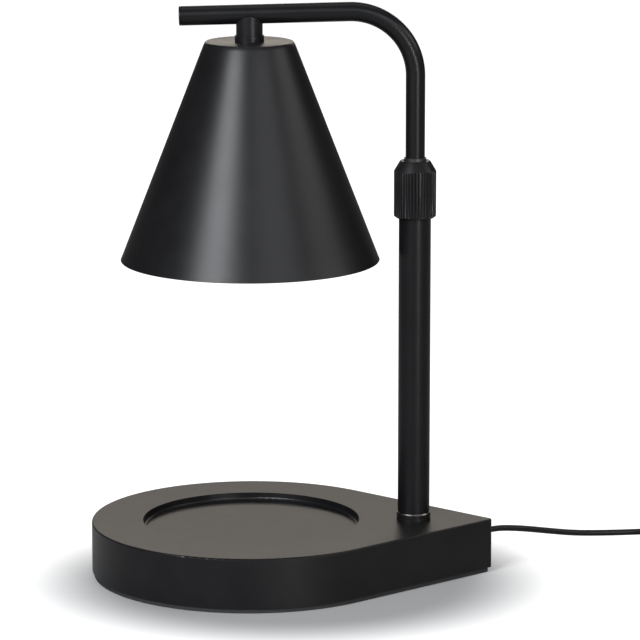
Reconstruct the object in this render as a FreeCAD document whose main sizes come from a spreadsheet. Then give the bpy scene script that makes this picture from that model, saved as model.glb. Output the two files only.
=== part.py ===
import FreeCAD, Part
import math
import os
import re
import Sketcher

# Candle warmer lamp: a teardrop base with a round recess for a candle jar, a telescopic
# post with a ribbed locking collar, a bent arm and a cone shade over a halogen lamp.
# Millimetres, +Z up. The origin is on the table, under the middle of the recess, and +X
# points from there to the post and on to the tip of the base.

SIZES = {
    # base
    "pad_thick": 2.4, "pad_inset": 0.9, "pad_tip_round": 2.6,
    "base_top": 27.4, "base_radius": 80.15, "base_tip_reach": 121.15, "base_tip_round": 2.0,
    "base_wall": 2.2, "base_top_wall": 2.5, "base_inner_tip_round": 1.5, "base_edge_round": 0.8,
    "recess_radius": 54.4, "recess_depth": 3.8, "recess_floor": 2.0, "recess_corner": 1.3,
    "cover_thick": 1.6, "cover_gap": 0.15, "cover_tip_round": 1.2,
    "cover_boss_radius": 4.0, "cover_boss_inset": 9.15, "tip_boss_inset": 9.64, "boss_sink": 0.5,
    "cover_screw_radius": 1.5, "cover_screw_head": 2.8, "cover_screw_length": 11.0,
    "cover_head_depth": 1.3, "screw_gap": 0.05, "hole_end_gap": 0.3,
    "ballast_inset": 18.15, "ballast_thick": 12.0, "ballast_gap": 0.3,
    "ballast_boss_radius": 5.0, "ballast_boss_ring": 44.0, "ballast_screw_radius": 2.0,
    "ballast_head_radius": 3.5, "ballast_head_thick": 2.6, "ballast_screw_bite": 4.2,
    "ballast_counterbore": 4.0, "head_gap": 0.4,
    # post
    "post_place": 81.8, "post_radius": 8.0, "post_wall": 1.2, "post_top": 181.5,
    "foot_ring_radius": 8.55, "foot_ring_tall": 3.95, "foot_ring_chamfer": 0.45,
    "stud_radius": 5.0, "stud_bore": 3.2, "stud_below": 10.2, "stud_above": 10.0,
    "plug_tall": 14.0, "post_washer_radius": 10.0, "post_washer_thick": 1.2,
    "post_nut_flats": 17.0, "post_nut_thick": 4.0,
    "thread_radius": 8.2, "thread_tall": 18.5, "sleeve_insert": 14.0,
    "running_gap": 0.07, "seat_gap": 0.1, "free_gap": 0.3,
    # locking collar and the split sleeve that it pinches
    "collar_radius": 10.5, "collar_bottom_chamfer": 1.8, "collar_bottom_lip": 0.3,
    "collar_taper_tall": 5.1, "collar_mouth_tall": 2.9, "collar_head_room": 0.6,
    "collar_top_radius": 7.4, "collar_mouth_radius": 5.85, "rib_count": 40.0,
    "rib_groove_radius": 0.62, "rib_groove_depth": 0.45,
    "sleeve_wall": 0.65, "sleeve_start": 6.5, "sleeve_head_radius": 7.2,
    "sleeve_head_tall": 6.4, "sleeve_lip_tall": 5.0, "sleeve_slot": 0.8,
    # arm
    "arm_radius": 4.8, "arm_wall": 1.0, "bend_radius": 31.8, "arm_crest": 284.0,
    "arm_droop": 1.49, "arm_free_end": 33.4, "arm_bottom": 96.0,
    "bush_tall": 8.0, "end_cap_thick": 1.2, "end_cap_plug": 6.0, "wire_hole_radius": 2.6,
    # stem and shade
    "stem_radius": 6.55, "stem_bore": 2.6, "stem_ring_radius": 7.25, "stem_ring_tall": 3.0,
    "saddle_apex_drop": 0.5, "saddle_curve": 9.0,
    "nipple_radius": 4.0, "nipple_up": 5.5, "nipple_down": 9.0,
    "stem_tall": 13.41, "shade_tall": 109.1, "shade_rim_radius": 64.4, "shade_top_radius": 22.0,
    "shade_wall": 1.0, "shade_edge_round": 0.7,
    "shade_washer_radius": 9.0, "shade_washer_thick": 1.0,
    "shade_nut_flats": 13.0, "shade_nut_thick": 4.0,
    # lampholder
    "bracket_thick": 1.5, "bracket_wide": 12.0, "bracket_drop": 19.0, "holder_radius": 14.0,
    "holder_tall": 15.0, "holder_below_bracket": 8.0, "holder_flat": 13.0,
    "holder_screw_radius": 1.4, "holder_screw_head": 2.6, "holder_screw_head_thick": 1.6,
    "holder_screw_bite": 4.0, "holder_screw_rise": 4.0,
    "contact_wide": 4.0, "contact_thick": 1.2,
    # halogen lamp with a two-pin twist base
    "pin_spacing": 10.0, "pin_radius": 1.2, "pin_head_radius": 2.4, "pin_length": 3.7,
    "pin_head_tall": 3.2, "slot_gap": 0.35, "twist_angle": 20.0, "slot_depth": 3.2,
    "lamp_gap": 0.3, "lamp_cap_radius": 12.0, "lamp_cap_tall": 12.0, "lamp_neck_radius": 9.0,
    "reflector_radius": 25.0, "reflector_tall": 36.0, "reflector_wall": 1.0,
    "lens_thick": 1.4, "capsule_radius": 4.5, "capsule_tall": 20.0,
    # leads inside the lamp
    "lead_radius": 1.5, "arm_lead_turn": 5.0,
    # mains cord
    "cord_radius": 1.6, "exit_from_tip": 20.54, "exit_height": 13.0,
    "relief_length": 20.0, "relief_flange_radius": 5.2, "relief_flange_thick": 1.5,
    "relief_root_radius": 3.6, "relief_tip_radius": 2.4, "relief_neck_radius": 4.0,
    "clamp_long": 15.0, "clamp_wide": 7.0, "clamp_tall": 5.0, "clamp_inset": 17.0,
    "clamp_screw_radius": 1.3, "clamp_screw_head": 2.4, "clamp_screw_spacing": 10.0, "clamp_head_thick": 1.4,
    "clamp_screw_lift": 1.0, "inner_turn_gap": 7.0, "live_entry_run": 12.0, "lamp_entry_run": 16.0,
    "lamp_entry_drop": 2.5, "stud_lead_side": 1.0, "stud_lead_front": 2.0,
    "block_long": 18.0, "block_wide": 10.0, "block_tall": 11.0, "block_back_inset": 10.15,
    "block_place_y": -25.0, "block_screw_radius": 1.6, "block_screw_spacing": 8.0,
    # coil of the put-away cord
    "coil_place_x": 236.5, "coil_place_y": 49.0, "coil_inner_radius": 12.8, "coil_turn_pitch": 3.72,
    "coil_layer_pitch": 3.72, "coil_turns_in_layer": 3.3125, "coil_layers": 4.0,
    "tie_thick": 0.6, "tie_wide": 6.0, "tie_gap": 0.25,
    # rotary dimmer in the cord
    "dimmer_place_x": 258.0, "dimmer_place_y": -20.0, "dimmer_long": 54.0, "dimmer_wide": 25.0,
    "dimmer_tall": 17.0, "dimmer_split": 8.5, "dimmer_wall": 1.8, "dimmer_corner": 4.0,
    "dimmer_boss_radius": 2.6, "dimmer_boss_spacing": 40.0, "dimmer_screw_radius": 1.1,
    "dimmer_screw_head": 2.0, "dimmer_screw_length": 11.5,
    "wheel_radius": 9.5, "wheel_top": 18.6, "wheel_bottom": 13.0, "wheel_pin_radius": 1.5,
    "board_long": 32.0, "board_wide": 18.0, "board_thick": 1.6, "board_lift": 1.6,
    "pot_side": 11.0, "pot_tall": 5.5, "pot_pin_hole_depth": 3.0,
    "board_post_radius": 1.5, "board_post_inset": 2.5, "dimmer_head_sink": 2.0, "dimmer_head_thick": 1.4,
    # two-blade plug
    "plug_place_x": 222.4, "plug_rear": -35.0, "plug_long": 27.0, "plug_wide": 23.0,
    "plug_high": 17.0, "plug_round": 4.0, "plug_relief_long": 12.0, "plug_relief_root": 4.2,
    "plug_relief_tip": 2.4, "plug_relief_sink": 1.0,
    "blade_wide": 6.35, "blade_thick": 1.5, "blade_long": 16.0, "blade_spacing": 12.7,
    "blade_sink": 6.0,
    # bow of cord from the dimmer to the plug: four steps out from each end
    "bow_side_a": 0.0, "bow_along_a": 6.5, "bow_down_a": 0.0,
    "bow_side_b": 0.0, "bow_along_b": 15.7, "bow_down_b": 2.8,
    "bow_side_c": 4.8, "bow_along_c": 23.6, "bow_down_c": 5.3,
    "bow_side_d": 13.0, "bow_along_d": 28.1, "bow_down_d": 6.7,
}

doc = FreeCAD.newDocument("CandleWarmerLamp")
sheet = doc.addObject("Spreadsheet::Sheet", "Sizes")
for row, (name, value) in enumerate(SIZES.items(), start=1):
    sheet.set(f"A{row}", name)
    sheet.set(f"B{row}", str(value))
    sheet.setAlias(f"B{row}", name)
doc.recompute()

pieces = []


def sized(text):
    """The expression for a rule that is written with the sheet's own names."""
    return re.sub(r"[a-z][a-z_]*", lambda m: "Sizes." + m[0] if m[0] in SIZES else m[0], str(text))


def number(text):
    """The value that a rule has now, for shapes that are set by code."""
    value = sheet.evalExpression(sized(text))
    return float(getattr(value, "Value", value))


def bind(item, **rules):
    for prop, rule in rules.items():
        item.setExpression(prop.replace("__", "."), sized(rule))
    return item


def place(item, x="0", y="0", z="0", turn=None, axis=None):
    """Ties an object's place, and its turn about one axis, to the sheet."""
    bind(item, Placement__Base__x=x, Placement__Base__y=y, Placement__Base__z=z)
    if turn is not None:
        item.Placement.Rotation = FreeCAD.Rotation(axis, 1)
        bind(item, Placement__Rotation__Angle=turn)
    return item


def cylinder(name, radius, height, x="0", y="0", z="0", turn=None, axis=None):
    item = doc.addObject("Part::Cylinder", name)
    bind(item, Radius=radius, Height=height)
    return place(item, x, y, z, turn, axis)


def cone(name, bottom, top, height, x="0", y="0", z="0", turn=None, axis=None):
    item = doc.addObject("Part::Cone", name)
    bind(item, Radius1=bottom, Radius2=top, Height=height)
    return place(item, x, y, z, turn, axis)


def block(name, length, width, height, x="0", y="0", z="0"):
    """A box centred on x and y, standing on z."""
    item = doc.addObject("Part::Box", name)
    bind(item, Length=length, Width=width, Height=height)
    return place(item, f"{x} - ({length}) / 2", f"{y} - ({width}) / 2", z)


def hexagon(name, flats, height, z):
    item = doc.addObject("Part::Prism", name)
    item.Polygon = 6
    bind(item, Circumradius=f"({flats}) / sqrt(3)", Height=height)
    return place(item, z=z)


def cut(name, base, tool):
    item = doc.addObject("Part::Cut", name)
    item.Base = base
    item.Tool = tool
    return item


def fuse(name, *parts):
    item = doc.addObject("Part::MultiFuse", name)
    item.Shapes = list(parts)
    return item


def common(name, *parts):
    item = doc.addObject("Part::MultiCommon", name)
    item.Shapes = list(parts)
    return item


def group(name, *parts):
    item = doc.addObject("Part::Compound", name)
    item.Links = list(parts)
    return item


def tube(name, outer, inner, height, z="0"):
    outside = cylinder(name + "_outside", outer, height, z=z)
    return cut(name + "_wall", outside, cylinder(name + "_bore", inner, height, z=z))


def rounded(name, base, radius, chosen):
    """Rounds the edges of base for which chosen(edge) holds."""
    doc.recompute()
    item = doc.addObject("Part::Fillet", name)
    item.Base = base
    size = number(radius)
    item.Edges = [(n, size, size) for n, edge in enumerate(base.Shape.Edges, start=1) if chosen(edge)]
    return item


def piece(node, item, x=None, y=None, z=None):
    """Names a finished piece, and moves it to its place in the lamp."""
    item.Label = node
    for side, rule in (("x", x), ("y", y), ("z", z)):
        if rule is not None:
            item.setExpression("Placement.Base." + side, sized(rule))
    pieces.append(item)
    return item


def set_piece(node, shape):
    item = doc.addObject("Part::Feature", node)
    item.Shape = shape
    return piece(node, item)


def origin_plane(body, role):
    return next(f for f in body.Origin.OriginFeatures if f.Role == role)


def sketch_in(body, name, role, height=None):
    sketch = body.newObject("Sketcher::SketchObject", name)
    sketch.AttachmentSupport = [(origin_plane(body, role), "")]
    sketch.MapMode = "FlatFace"
    if height is not None:
        sketch.setExpression("AttachmentOffset.Base.z", sized(height))
    return sketch


def limit(sketch, kind, *where, rule):
    """Adds a dimension to a sketch and ties it to the sheet."""
    index = sketch.addConstraint(Sketcher.Constraint(kind, *where, number(rule)))
    sketch.setExpression(f"Constraints[{index}]", sized(rule))


def circle_in(sketch, radius, x="0"):
    ring = Part.Circle(FreeCAD.Vector(number(x), 0, 0), FreeCAD.Vector(0, 0, 1), number(radius))
    index = sketch.addGeometry(ring, False)
    limit(sketch, "Radius", index, rule=radius)
    if x == "0":
        sketch.addConstraint(Sketcher.Constraint("Coincident", index, 3, -1, 1))
    else:
        sketch.addConstraint(Sketcher.Constraint("PointOnObject", index, 3, -1))
        limit(sketch, "DistanceX", -1, 1, index, 3, rule=x)
    return index


# The base's outline: a big circle and a small tip circle, joined by their two tangents

FACE_COSINE = "((base_radius - base_tip_round) / (base_tip_reach - base_tip_round))"
FACE_ANGLE = f"acos({FACE_COSINE})"


def teardrop(body, name, inset, tip_round, height):
    """The base's outline drawn in by an inset, with its own round at the tip."""
    tip_centre = f"(base_radius - ({inset}) - {tip_round}) / {FACE_COSINE}"
    big = number(f"base_radius - ({inset})")
    small = number(tip_round)
    reach = number(tip_centre)
    turn = math.acos((big - small) / reach)
    up = FreeCAD.Vector(0, 0, 1)
    middle = FreeCAD.Vector(0, 0, 0)
    tip = FreeCAD.Vector(reach, 0, 0)
    side = FreeCAD.Vector(math.cos(turn), math.sin(turn), 0)
    mirror = FreeCAD.Vector(side.x, -side.y, 0)
    sketch = sketch_in(body, name, "XY_Plane", height)
    big_arc = sketch.addGeometry(
        Part.ArcOfCircle(Part.Circle(middle, up, big), turn, 2 * math.pi - turn), False,
    )
    tip_arc = sketch.addGeometry(Part.ArcOfCircle(Part.Circle(tip, up, small), -turn, turn), False)
    back = sketch.addGeometry(Part.LineSegment(tip + side * small, side * big), False)
    front = sketch.addGeometry(Part.LineSegment(mirror * big, tip + mirror * small), False)
    sketch.addConstraint(Sketcher.Constraint("Coincident", big_arc, 3, -1, 1))
    sketch.addConstraint(Sketcher.Constraint("PointOnObject", tip_arc, 3, -1))
    sketch.addConstraint(Sketcher.Constraint("Tangent", tip_arc, 2, back, 1))
    sketch.addConstraint(Sketcher.Constraint("Tangent", back, 2, big_arc, 1))
    sketch.addConstraint(Sketcher.Constraint("Tangent", big_arc, 2, front, 1))
    sketch.addConstraint(Sketcher.Constraint("Tangent", front, 2, tip_arc, 1))
    limit(sketch, "Radius", big_arc, rule=f"base_radius - ({inset})")
    limit(sketch, "Radius", tip_arc, rule=tip_round)
    limit(sketch, "DistanceX", -1, 1, tip_arc, 3, rule=tip_centre)
    return sketch


def pad(body, name, sketch, length):
    item = body.newObject("PartDesign::Pad", name)
    item.Profile = sketch
    item.setExpression("Length", sized(length))
    return item


def pocket(body, name, sketch, length, upward=False):
    """A pocket cuts against its sketch's normal, or along it if it goes upward."""
    doc.recompute()
    before = body.Shape.Volume
    item = body.newObject("PartDesign::Pocket", name)
    item.Profile = sketch
    item.Reversed = upward
    item.setExpression("Length", sized(length))
    doc.recompute()
    if body.Shape.Volume > before - 1:
        raise RuntimeError(name + " cuts nothing")
    return item


def plate(name, inset, tip_round, bottom, thick):
    """A flat piece with the base's outline."""
    body = doc.addObject("PartDesign::Body", name)
    pad(body, name + "_pad", teardrop(body, name + "_outline", inset, tip_round, bottom), thick)
    return body


# Base shell

CEILING = "(base_top - base_top_wall)"
RECESS_FLOOR = "(base_top - recess_depth)"
RECESS_UNDER = "(base_top - recess_depth - recess_floor)"
COVER_TOP = "(pad_thick + cover_thick)"
BALLAST_BOTTOM = "(pad_thick + cover_thick + ballast_gap)"
BALLAST_TOP = "(pad_thick + cover_thick + ballast_gap + ballast_thick)"

COVER_BOSS_RING = "(base_radius - cover_boss_inset)"
cover_boss_angles = [90, 180, 270]
ballast_boss_angles = [90, 210, 330]
cover_boss_spots = [
    (f"{COVER_BOSS_RING} * cos({a} deg)", f"{COVER_BOSS_RING} * sin({a} deg)") for a in cover_boss_angles
] + [(f"(base_radius - tip_boss_inset) / {FACE_COSINE}", "0")]
ballast_boss_spots = [
    (f"ballast_boss_ring * cos({a} deg)", f"ballast_boss_ring * sin({a} deg)") for a in ballast_boss_angles
]

shell = doc.addObject("PartDesign::Body", "shell_body")
shell_outline = teardrop(shell, "shell_outline", "0", "base_tip_round", "pad_thick")
pad(shell, "shell_block", shell_outline, "base_top - pad_thick")
hollow_outline = teardrop(shell, "shell_hollow_outline", "base_wall", "base_inner_tip_round", "pad_thick")
pocket(shell, "shell_hollow", hollow_outline, f"{CEILING} - pad_thick", upward=True)
recess_back = sketch_in(shell, "recess_back_outline", "XY_Plane", RECESS_UNDER)
circle_in(recess_back, "recess_radius + base_wall")
pad(shell, "recess_back", recess_back, f"{CEILING} - {RECESS_UNDER}")
recess_outline = sketch_in(shell, "recess_outline", "XY_Plane", "base_top")
circle_in(recess_outline, "recess_radius")
pocket(shell, "recess", recess_outline, "recess_depth")
doc.recompute()


def edges_of(body, chosen):
    return [f"Edge{n}" for n, edge in enumerate(body.Shape.Edges, start=1) if chosen(edge)]


def at_height(edge, height):
    return abs(edge.BoundBox.ZMin - height) < 0.01 and abs(edge.BoundBox.ZMax - height) < 0.01


def farthest(edge):
    return max(math.hypot(p.x, p.y) for p in edge.discretize(9))


def round_edges(body, name, radius, chosen):
    base = body.Tip
    edges = edges_of(body, chosen)
    item = body.newObject("PartDesign::Fillet", name)
    item.Base = (base, edges)
    item.setExpression("Radius", sized(radius))
    doc.recompute()
    return item


round_edges(
    shell, "base_edge", "base_edge_round",
    lambda e: at_height(e, number("base_top")) and farthest(e) > number("recess_radius") + 1,
)
round_edges(
    shell, "recess_corner", "recess_corner",
    lambda e: at_height(e, number(RECESS_FLOOR)) and farthest(e) < number("recess_radius") + 0.1,
)

bosses = [
    cylinder(f"cover_boss_{n}", "cover_boss_radius", f"{CEILING} - {COVER_TOP} + boss_sink", x, y, COVER_TOP)
    for n, (x, y) in enumerate(cover_boss_spots)
] + [
    cylinder(
        f"ballast_boss_{n}", "ballast_boss_radius", f"{RECESS_UNDER} - {BALLAST_TOP} + boss_sink", x,
        y, BALLAST_TOP,
    )
    for n, (x, y) in enumerate(ballast_boss_spots)
]
pilot_holes = [
    cylinder(
        f"cover_pilot_{n}", "cover_screw_radius + screw_gap", "cover_screw_length + boss_sink", x, y, COVER_TOP
    )
    for n, (x, y) in enumerate(cover_boss_spots)
] + [
    cylinder(
        f"ballast_pilot_{n}", "ballast_screw_radius + screw_gap", "ballast_screw_bite + hole_end_gap", x, y, BALLAST_TOP
    )
    for n, (x, y) in enumerate(ballast_boss_spots)
]
post_hole = cylinder(
    "post_hole", "stud_radius + screw_gap", "base_top_wall + 2", "post_place", "0", f"{CEILING} - 1",
)

# The cord leaves the back face near the tip. Pieces on that line are drawn along X, then
# turned to the face's own direction.

FACE_LONG = "sqrt((base_tip_reach - base_tip_round) ^ 2 - (base_radius - base_tip_round) ^ 2)"
EXIT_ALONG = f"({FACE_LONG} - exit_from_tip)"
exit_x = f"(base_radius * cos({FACE_ANGLE}) + {EXIT_ALONG} * sin({FACE_ANGLE}))"
exit_y = f"(base_radius * sin({FACE_ANGLE}) - {EXIT_ALONG} * cos({FACE_ANGLE}))"


def along_exit(name, item):
    """Turns what is drawn along X to the exit's direction, and moves it there."""
    turned = doc.addObject("Part::Compound", name)
    turned.Links = [item]
    return place(turned, exit_x, exit_y, "exit_height", FACE_ANGLE, FreeCAD.Vector(0, 0, 1))


def lying(kind, name, *sizes, x="0"):
    """A cylinder or a cone whose axis is X."""
    return kind(name, *sizes, x=x, turn="90", axis=FreeCAD.Vector(0, 1, 0))


cord_hole = along_exit(
    "cord_hole", lying(cylinder, "cord_hole_bore", "relief_neck_radius", "3 * base_wall", x="-2 * base_wall")
)
shell_full = fuse("shell_full", shell, *bosses)
shell_holes = fuse("shell_holes", *pilot_holes, post_hole, cord_hole)
piece("base_shell", cut("base_shell_cut", shell_full, shell_holes))

piece("foot_pad", plate("pad_body", "pad_inset", "pad_tip_round", "0", "pad_thick"))

# Cover plate under the base, with countersunk screws

cover = plate("cover_body", "base_wall + cover_gap", "cover_tip_round", "pad_thick", "cover_thick")
cover_holes = [
    fuse(
        f"cover_hole_{n}",
        cylinder(f"cover_hole_bore_{n}", "cover_screw_radius + screw_gap", "cover_thick", x, y, "pad_thick"),
        cone(
            f"cover_hole_sink_{n}", "cover_screw_head + screw_gap", "cover_screw_radius + screw_gap",
            "cover_head_depth + screw_gap", x, y, "pad_thick",
        ),
    )
    for n, (x, y) in enumerate(cover_boss_spots)
]
piece("cover_plate", cut("cover_cut", cover, fuse("cover_holes", *cover_holes)))
cover_screws = [
    fuse(
        f"cover_screw_{n}",
        cone(
            f"cover_screw_head_{n}", "cover_screw_head", "cover_screw_radius", "cover_head_depth", x,
            y, "pad_thick",
        ),
        cylinder(
            f"cover_screw_shank_{n}", "cover_screw_radius", "cover_screw_length", x, y,
            "pad_thick + cover_head_depth",
        ),
    )
    for n, (x, y) in enumerate(cover_boss_spots)
]
piece("cover_screws", group("cover_screw_group", *cover_screws))

# Cast ballast disc, screwed up against the bosses under the recess

ballast = cylinder("ballast_round", "base_radius - ballast_inset", "ballast_thick", z=BALLAST_BOTTOM)
ballast_holes = []
ballast_screws = []
for n, (x, y) in enumerate(ballast_boss_spots):
    shank = "ballast_screw_radius"
    head_top = f"{BALLAST_BOTTOM} + ballast_counterbore"
    ballast_holes += [
        cylinder(f"ballast_hole_{n}", f"{shank} + screw_gap", "ballast_thick", x, y, BALLAST_BOTTOM),
        cylinder(
            f"ballast_sink_{n}", "ballast_head_radius + head_gap", "ballast_counterbore", x, y,
            BALLAST_BOTTOM,
        ),
    ]
    screw_length = "ballast_thick - ballast_counterbore + ballast_screw_bite"
    ballast_screws.append(
        fuse(
            f"ballast_screw_{n}",
            cylinder(
                f"ballast_head_{n}", "ballast_head_radius", "ballast_head_thick", x, y,
                f"{head_top} - ballast_head_thick",
            ),
            cylinder(f"ballast_shank_{n}", shank, screw_length, x, y, head_top),
        )
    )
piece("ballast_disc", cut("ballast_cut", ballast, fuse("ballast_holes", *ballast_holes)))
piece("ballast_screws", group("ballast_screw_group", *ballast_screws))

# Post: its pieces are drawn round Z, then moved to the post's axis

PLUG_TOP = "(base_top + plug_tall)"
post_bore = "(post_radius - post_wall)"

ring_side = cylinder(
    "foot_ring_side", "foot_ring_radius", "foot_ring_tall - foot_ring_chamfer", z="base_top",
)
ring_slope = cone(
    "foot_ring_slope", "foot_ring_radius", "foot_ring_radius - foot_ring_chamfer", "foot_ring_chamfer",
    z="base_top + foot_ring_tall - foot_ring_chamfer",
)
ring_bore = cylinder("foot_ring_bore", "post_radius", "foot_ring_tall", z="base_top")
piece(
    "foot_ring", cut("foot_ring_cut", fuse("foot_ring_solid", ring_side, ring_slope), ring_bore),
    x="post_place",
)

piece("post_tube", tube("post", "post_radius", post_bore, "post_top - base_top", "base_top"), x="post_place")
piece("post_end_plug", tube("post_plug", post_bore, "stud_radius", "plug_tall", "base_top"), x="post_place")
piece(
    "post_stud",
    tube("stud", "stud_radius", "stud_bore", "stud_below + stud_above", "base_top - stud_below"),
    x="post_place",
)
piece(
    "post_washer",
    tube(
        "washer", "post_washer_radius", "stud_radius + screw_gap", "post_washer_thick",
        f"{CEILING} - post_washer_thick",
    ),
    x="post_place",
)
NUT_BOTTOM = f"({CEILING} - post_washer_thick - post_nut_thick)"
post_nut = cut(
    "post_nut_cut",
    hexagon("post_nut_hexagon", "post_nut_flats", "post_nut_thick", NUT_BOTTOM),
    cylinder("post_nut_bore", "stud_radius + screw_gap", "post_nut_thick", z=NUT_BOTTOM),
)
piece("post_nut", post_nut, x="post_place")

# Threaded sleeve in the top of the post. The ribbed collar turns on it.

SLEEVE_IN = "(arm_radius + running_gap)"
SLEEVE_OUT = "(arm_radius + running_gap + sleeve_wall)"
THREAD_BORE = f"({SLEEVE_OUT} + running_gap)"
insert_side = cylinder("thread_insert", post_bore, "sleeve_insert", z="post_top - sleeve_insert")
thread_side = cylinder("thread_side", "thread_radius", "thread_tall", z="post_top")
thread_bore = cylinder(
    "thread_bore", THREAD_BORE, "thread_tall + sleeve_insert", z="post_top - sleeve_insert",
)
piece(
    "thread_sleeve",
    cut("thread_sleeve_cut", fuse("thread_sleeve_solid", insert_side, thread_side), thread_bore),
    x="post_place",
)

# Split sleeve: grips the upper tube when the collar presses its cone

HEAD_BOTTOM = "(post_top + thread_tall + seat_gap)"
LIP_TOP = f"({HEAD_BOTTOM} + sleeve_head_tall + sleeve_lip_tall)"
SLEEVE_BOTTOM = "(post_top + sleeve_start)"
sleeve_side = cylinder("sleeve_side", SLEEVE_OUT, f"{HEAD_BOTTOM} - {SLEEVE_BOTTOM}", z=SLEEVE_BOTTOM)
sleeve_head = cone("sleeve_head", "sleeve_head_radius", SLEEVE_OUT, "sleeve_head_tall", z=HEAD_BOTTOM)
sleeve_lip = cylinder("sleeve_lip", SLEEVE_OUT, "sleeve_head_tall + sleeve_lip_tall", z=HEAD_BOTTOM)
sleeve_bore = cylinder("sleeve_bore", SLEEVE_IN, f"{LIP_TOP} - {SLEEVE_BOTTOM}", z=SLEEVE_BOTTOM)
sleeve_slot = block(
    "sleeve_slot", "2 * sleeve_head_radius", "sleeve_slot", "sleeve_head_tall", "0", "0", HEAD_BOTTOM,
)
bind(sleeve_slot, Placement__Base__x="0")
piece(
    "split_sleeve",
    cut(
        "split_sleeve_cut",
        fuse("split_sleeve_solid", sleeve_side, sleeve_head, sleeve_lip),
        fuse("split_sleeve_tools", sleeve_bore, sleeve_slot),
    ),
    x="post_place",
)

# Ribbed locking collar


def turned_outline(body, name, outline):
    """A closed outline of (radius, height) rules, drawn in the XZ plane."""
    sketch = sketch_in(body, name, "XZ_Plane")
    spots = [FreeCAD.Vector(number(r), number(z), 0) for r, z in outline]
    count = len(spots)
    for n in range(count):
        sketch.addGeometry(Part.LineSegment(spots[n], spots[(n + 1) % count]), False)
    for n in range(count):
        sketch.addConstraint(Sketcher.Constraint("Coincident", n, 2, (n + 1) % count, 1))
    for n, (radius, height) in enumerate(outline):
        limit(sketch, "DistanceX", -1, 1, n, 1, rule=radius)
        limit(sketch, "DistanceY", -1, 1, n, 1, rule=height)
    return sketch


def turned(name, outline):
    """A body of revolution about Z."""
    body = doc.addObject("PartDesign::Body", name)
    sketch = turned_outline(body, name + "_outline", outline)
    item = body.newObject("PartDesign::Revolution", name + "_turned")
    item.Profile = sketch
    item.ReferenceAxis = (origin_plane(body, "Z_Axis"), [""])
    item.Angle = 360
    return body


MOUTH_START = f"({HEAD_BOTTOM} + sleeve_head_tall + collar_head_room)"
COLLAR_TOP = f"({MOUTH_START} + collar_mouth_tall)"
RIB_TOP = f"({COLLAR_TOP} - collar_taper_tall)"
collar = turned(
    "collar_body",
    [
        ("thread_radius + running_gap", "post_top"),
        ("collar_radius - collar_bottom_chamfer + collar_bottom_lip", "post_top"),
        ("collar_radius", "post_top + collar_bottom_chamfer"),
        ("collar_radius", RIB_TOP),
        ("collar_top_radius", COLLAR_TOP),
        ("collar_mouth_radius", COLLAR_TOP),
        ("collar_mouth_radius", MOUTH_START),
        ("sleeve_head_radius + free_gap", f"{HEAD_BOTTOM} + collar_head_room"),
        ("thread_radius + running_gap", f"{HEAD_BOTTOM} + collar_head_room"),
    ],
)
doc.recompute()
groove_outline = sketch_in(collar, "rib_groove_outline", "XY_Plane", RIB_TOP)
circle_in(groove_outline, "rib_groove_radius", "collar_radius + rib_groove_radius - rib_groove_depth")
groove = pocket(collar, "rib_groove", groove_outline, f"{RIB_TOP} - post_top - collar_bottom_chamfer")
ribs = collar.newObject("PartDesign::PolarPattern", "ribs")
ribs.Originals = [groove]
ribs.Axis = (origin_plane(collar, "Z_Axis"), [""])
ribs.Angle = 360
ribs.setExpression("Occurrences", sized("rib_count"))
collar.Tip = ribs
piece("lock_collar", collar, x="post_place")

# Arm: a tube that rises through the sleeve, bends over and runs to its free end

BEND_HEIGHT = "(arm_crest - bend_radius)"
BEND_END_X = "(post_place - bend_radius - bend_radius * sin(arm_droop * 1 deg))"


def arm_height(x):
    """The height of the arm's axis at x, past the bend."""
    return (
        f"({BEND_HEIGHT} + bend_radius * cos(arm_droop * 1 deg)"
        f" - ({BEND_END_X} - ({x})) * tan(arm_droop * 1 deg))"
    )


SHADE_TOP = f"({arm_height('0')} - stem_tall)"
SHADE_RIM = f"({SHADE_TOP} - shade_tall)"


def arm_spine(body, name, free_end):
    sketch = sketch_in(body, name, "XZ_Plane")
    droop = math.radians(number("arm_droop"))
    bend = number("bend_radius")
    low = FreeCAD.Vector(number("post_place"), number("arm_bottom"), 0)
    turn = FreeCAD.Vector(number("post_place"), number(BEND_HEIGHT), 0)
    centre = turn - FreeCAD.Vector(bend, 0, 0)
    crest = centre + FreeCAD.Vector(-math.sin(droop), math.cos(droop), 0) * bend
    tip = FreeCAD.Vector(number(free_end), number(arm_height(free_end)), 0)
    up = FreeCAD.Vector(0, 0, 1)
    leg = sketch.addGeometry(Part.LineSegment(low, turn), False)
    arc = sketch.addGeometry(Part.ArcOfCircle(Part.Circle(centre, up, bend), 0, math.pi / 2 + droop), False)
    run = sketch.addGeometry(Part.LineSegment(crest, tip), False)
    sketch.addConstraint(Sketcher.Constraint("Vertical", leg))
    sketch.addConstraint(Sketcher.Constraint("Tangent", leg, 2, arc, 1))
    sketch.addConstraint(Sketcher.Constraint("Tangent", arc, 2, run, 1))
    limit(sketch, "DistanceX", -1, 1, leg, 1, rule="post_place")
    limit(sketch, "DistanceY", -1, 1, leg, 1, rule="arm_bottom")
    limit(sketch, "Radius", arc, rule="bend_radius")
    limit(sketch, "DistanceY", -1, 1, arc, 3, rule=BEND_HEIGHT)
    limit(sketch, "DistanceX", run, 2, -1, 1, rule=f"-({free_end})")
    limit(sketch, "DistanceY", -1, 1, run, 2, rule=arm_height(free_end))
    return sketch


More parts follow.
